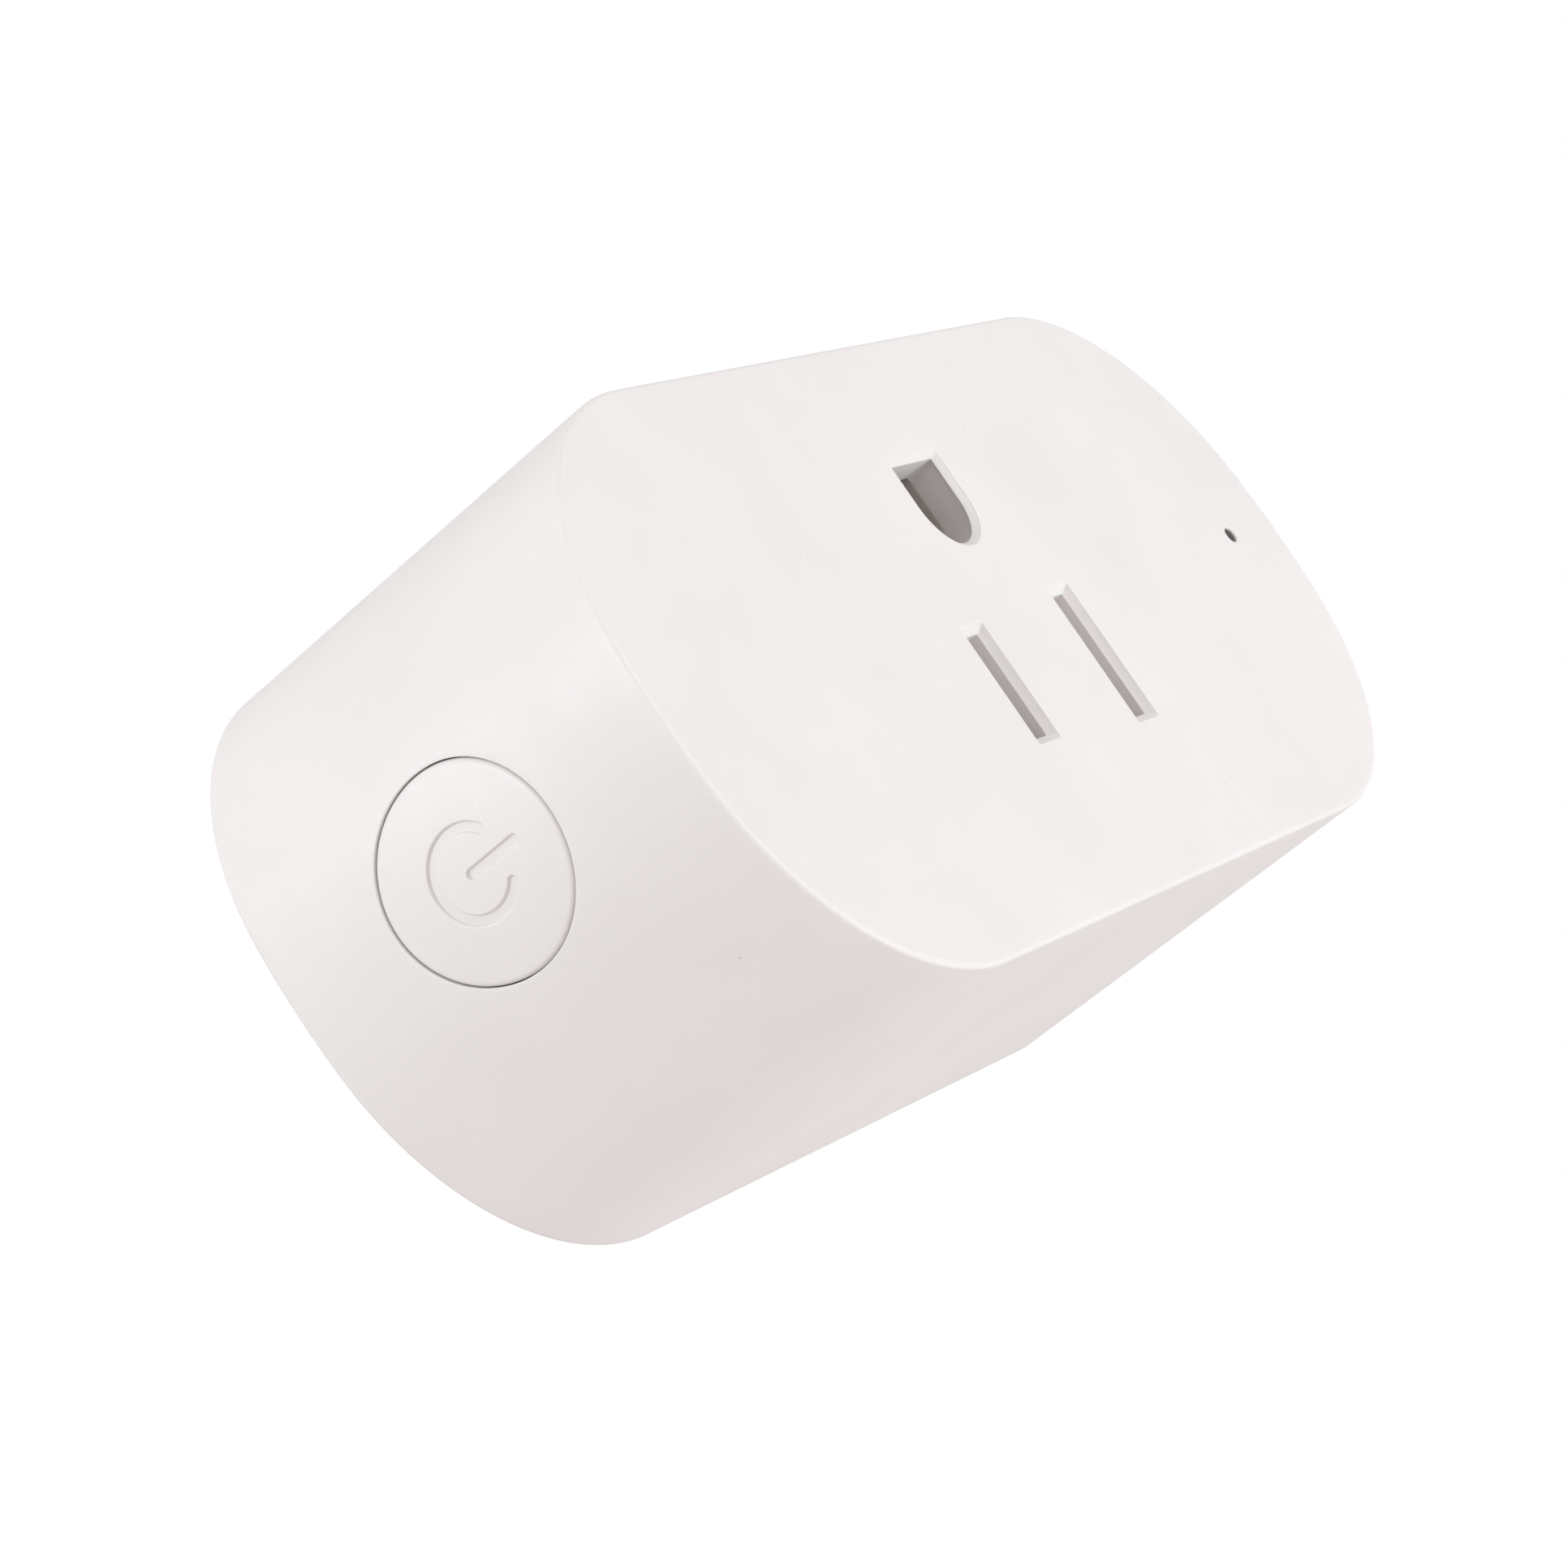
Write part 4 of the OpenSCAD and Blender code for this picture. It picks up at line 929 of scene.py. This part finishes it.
GREEN_MASK = (0.02, 0.13, 0.06)
WEAVE = (0.55, 0.50, 0.30)
main_laminate = laminate("main_board_laminate", GREEN_MASK, WEAVE, 1.3, "Y")
dressed("main_board", main_laminate)
control_laminate = laminate("control_board_laminate", GREEN_MASK, WEAVE, 1.1, "X")
dressed("control_board", control_laminate)
radio_laminate = laminate("radio_module_laminate", (0.015, 0.03, 0.08), (0.45, 0.42, 0.30), 0.8, "X")
dressed("wifi_module", radio_laminate)
can_steel = metal("shield_can_steel", (0.70, 0.70, 0.69), 0.3, "Z")
dressed("shield_can", can_steel)
zinc_plated = metal("zinc_plated_steel", (0.66, 0.66, 0.64), 0.3, "Y", 0.7)
dressed("board_screws", zinc_plated)
header_nylon = moulded("header_black_nylon", (0.03, 0.03, 0.032), 0.5, 0.2)
dressed("board_header", header_nylon)


# ---- Push switch ----
# A tactile switch with a black nylon body, soldered to the upright board. Its round acetal
# plunger faces the button's stem, and pressing the button pushes it in.

switch_nylon = moulded("switch_black_nylon", (0.035, 0.035, 0.037), 0.45, 0.2)
dressed("tact_switch_body", switch_nylon)
plunger_pom = moulded("plunger_black_pom", (0.045, 0.045, 0.047), 0.32, 0.25)
dressed("tact_switch_plunger", plunger_pom)


# ---- Relay ----
# The part that switches the load: a coil on a bobbin, an iron core and yoke, and an armature
# that tips on the yoke and presses the moving contact onto the fixed one, all under a dark
# plastic case on a moulded base.

case_pbt = moulded("relay_case_black_pbt", (0.022, 0.023, 0.03), 0.4, 0.28)
dressed("relay_case", case_pbt)
base_pbt = moulded("relay_base_pbt", (0.05, 0.05, 0.052), 0.5, 0.28)
dressed("relay_base", base_pbt)
bobbin_nylon = moulded("bobbin_ivory_nylon", (0.72, 0.68, 0.56), 0.45, 0.3)
dressed("relay_bobbin", bobbin_nylon)
relay_iron = metal("relay_iron", (0.56, 0.55, 0.53), 0.36, "X", 0.65)
for node in ("relay_yoke", "relay_armature"):
    dressed(node, relay_iron)
contact_alloy = metal("contact_alloy", (0.80, 0.62, 0.45), 0.28, "Z", 0.75)
for node in ("relay_moving_contact", "relay_fixed_contact"):
    dressed(node, contact_alloy)


def wound(x, z, inner_r, outer_r, low, high, pitch):
    """A coil of enamelled wire: outside, the radius rises by the wire's crown, the size of the
    sine of half the turn made by height over pitch less the angle; inside it is plain."""
    made = Moulding()
    a = np.linspace(0, 2 * math.pi, 72, endpoint=False)[None, :]
    h = np.linspace(low, high, int((high - low) / pitch * 6) + 1)[:, None]
    crown = pitch * 0.4
    r = outer_r - crown + crown * np.abs(np.sin(math.pi * (h - low) / pitch - a / 2))
    grid = np.stack([x + r * np.cos(a), z + r * np.sin(a), np.broadcast_to(h, r.shape)], 2)
    rows = made.add(grid)
    made.skin(rows)
    tube = [ring(circle(x, z, inner_r, 72), height) for height in (high, low)]
    last = made.collar(rows[-1], tube)
    made.skin([last, rows[0]])
    return made


copper_wire = metal("enamelled_copper", (0.74, 0.32, 0.14), 0.22, "X", 0.8)
RELAY_COIL = (19.5, 4.6)
COIL_LOW = BOARD_TOP + 3.3
relay_coil = wound(*RELAY_COIL, 2.1, 4.0, COIL_LOW, COIL_LOW + 7.8, 0.26)
placed(relay_coil, "relay_winding_coil", copper_wire, "copper_wire", "relay_winding")


# ---- Power supply ----
# Mains parts and a small switching supply on the board: two bulk capacitors, an output
# capacitor, a film capacitor, a surge absorber, a fuse, a drum inductor, a bridge rectifier
# and the supply chip, with a few chip resistors.

GROOVE = 1.8


def can(mould, x, z, r, top):
    """An electrolytic can in its sleeve: rolled groove near the base, rounded shoulder, and a
    top sunk a little inside the sleeve's lip."""
    steps = [(r - 0.2, 0), (r, 0.2), (r, GROOVE - 0.45), (r - 0.2, GROOVE - 0.25), (r - 0.35, GROOVE)]
    steps += [(r - 0.2, GROOVE + 0.25), (r, GROOVE + 0.45), (r, top - 0.45), (r - 0.12, top - 0.15)]
    steps += [(r - 0.4, top), (r - 0.9, top), (r - 1.0, top - 0.12), (0.4, top - 0.12)]
    turned(mould, x, z, [(across, BOARD_TOP + h) for across, h in steps], 64)


bulk = Moulding()
for side in (-1, 1):
    can(bulk, -20.4, side * 9.2, 4.0, 12.0)
sleeve = moulded("capacitor_sleeve_pet", (0.03, 0.045, 0.09), 0.3, 0.6, 0.003)
placed(bulk, "bulk_capacitor_cans", sleeve, "capacitor_sleeve", "bulk_capacitors")
output = Moulding()
can(output, -27.6, -7, 3.15, 11.0)
placed(output, "output_capacitor_can", sleeve, "capacitor_sleeve", "output_capacitor")
film = Moulding()
bar(film, -22.9, -17.9, -4.9, 4.9, BOARD_TOP, BOARD_TOP + 11, 0.5, 0.9)
yellow_epoxy = moulded("film_yellow_epoxy", (0.62, 0.42, 0.06), 0.34, 0.5)
placed(film, "film_capacitor_block", yellow_epoxy, "film_epoxy", "film_capacitor")
blue_lacquer = moulded("varistor_blue_lacquer", (0.03, 0.10, 0.35), 0.3, 0.8, 0.012)
dressed("varistor", blue_lacquer)
ceramic = moulded("fuse_ceramic_body", (0.66, 0.62, 0.53), 0.42, 0.3)
dressed("fuse", ceramic)
ferrite = moulded("inductor_ferrite", (0.055, 0.055, 0.06), 0.62, 0.15, 0.012)
dressed("inductor_core", ferrite)
INDUCTOR = (-31.8, 7)
inductor_coil = wound(*INDUCTOR, 1.8, 3.3, BOARD_TOP + 1.2, BOARD_TOP + 7.8, 0.3)
placed(inductor_coil, "inductor_winding_coil", copper_wire, "copper_wire", "inductor_winding")
chip_resin = moulded("chip_black_resin", (0.025, 0.025, 0.027), 0.55, 0.12, 0.008)
for node in ("bridge_rectifier", "supply_chip", "driver_transistor", "chip_resistors"):
    dressed(node, chip_resin)


# ---- Studio ----
# A wide sheet of white paper below the plug, an even surround, and six soft square lamps close
# round it. The surround looks plain white but lights the plug with a slightly warmer fill.

FLOOR_Z = -0.45
FLOOR_HALF = 9
floor_mesh = bpy.data.meshes.new("floor")
corners = [(x * FLOOR_HALF, y * FLOOR_HALF, FLOOR_Z) for x, y in ((-1, -1), (1, -1), (1, 1), (-1, 1))]
floor_mesh.from_pydata(corners, [], [(0, 1, 2, 3)])
floor = bpy.data.objects.new("floor", floor_mesh)
bpy.context.scene.collection.objects.link(floor)
paper, shader, add, join = finish("floor_paper", (0.9, 0.9, 0.9), 0.9)
ray = add("ShaderNodeLightPath")
white = add("ShaderNodeEmission")
choose = add("ShaderNodeMixShader")
join(ray.outputs["Is Camera Ray"], choose.inputs["Fac"])
join(shader.outputs["BSDF"], choose.inputs[1])
join(white.outputs["Emission"], choose.inputs[2])
join(choose.outputs["Shader"], paper.node_tree.nodes["Material Output"].inputs["Surface"])
floor_mesh.materials.append(paper)

world = bpy.data.worlds.new("studio")
world.use_nodes = True
tree = world.node_tree
fill = tree.nodes["Background"]
fill.inputs["Color"].default_value = (1.0, 0.91, 0.89, 1)
fill.inputs["Strength"].default_value = 0.684
seen = tree.nodes.new("ShaderNodeBackground")
seen.inputs["Strength"].default_value = 1.0
seen.inputs["Color"].default_value = (1, 1, 1, 1)
ray = tree.nodes.new("ShaderNodeLightPath")
choose = tree.nodes.new("ShaderNodeMixShader")
tree.links.new(ray.outputs["Is Camera Ray"], choose.inputs["Fac"])
tree.links.new(fill.outputs["Background"], choose.inputs[1])
tree.links.new(seen.outputs["Background"], choose.inputs[2])
tree.links.new(choose.outputs["Shader"], tree.nodes["World Output"].inputs["Surface"])
bpy.context.scene.world = world
bpy.context.scene.view_settings.view_transform = "Standard"

MIDDLE = Vector((0, -0.0145, 0))
REACH = 0.5
LAMP_COLOUR = (0.9, 1.0, 1.03)


def softbox(name, around, forward, size, power):
    """A square area light at a fixed distance from the body's middle, itself unseen: turned
    around the body from its button end, raised towards the face's side, and aimed back."""
    data = bpy.data.lights.new(name, "AREA")
    data.size = size
    data.energy = power
    data.color = LAMP_COLOUR
    lamp = bpy.data.objects.new(name, data)
    turn, rise = math.radians(around), math.radians(forward)
    way = Vector((math.cos(turn) * math.cos(rise), -math.sin(rise), math.sin(turn) * math.cos(rise)))
    lamp.location = MIDDLE + REACH * way
    lamp.rotation_mode = "QUATERNION"
    lamp.rotation_quaternion = (-way).to_track_quat("-Z", "Y")
    lamp.visible_camera = False
    bpy.context.scene.collection.objects.link(lamp)


softbox("end_light_rear", -25, -20, 0.16, 0.562)
softbox("end_light_side", -25, 0, 0.16, 0.477)
softbox("top_light_side", 110, 10, 0.25, 0.337)
softbox("top_light_front", 95, 45, 0.25, 0.853)
softbox("face_light", 180, 75, 0.30, 0.659)
softbox("low_light_front", -60, 60, 0.30, 0.10)


# ---- Camera ----
# A long lens about 0.29 m off, aimed close to the middle of the body from its button end and
# its face's side, and rolled so that the button's end comes low on the left.

camera = bpy.data.objects.new("camera", bpy.data.cameras.new("camera"))
camera.data.lens = 110.71
camera.location = (0.25092, -0.14783, 0.04236)
aim = Vector((0.00177, -0.01127, 0.0))
roll = Quaternion((0, 0, 1), math.radians(145.79))
camera.rotation_mode = "QUATERNION"
camera.rotation_quaternion = (aim - camera.location).to_track_quat("-Z", "Y") @ roll
bpy.context.scene.collection.objects.link(camera)
bpy.context.scene.camera = camera
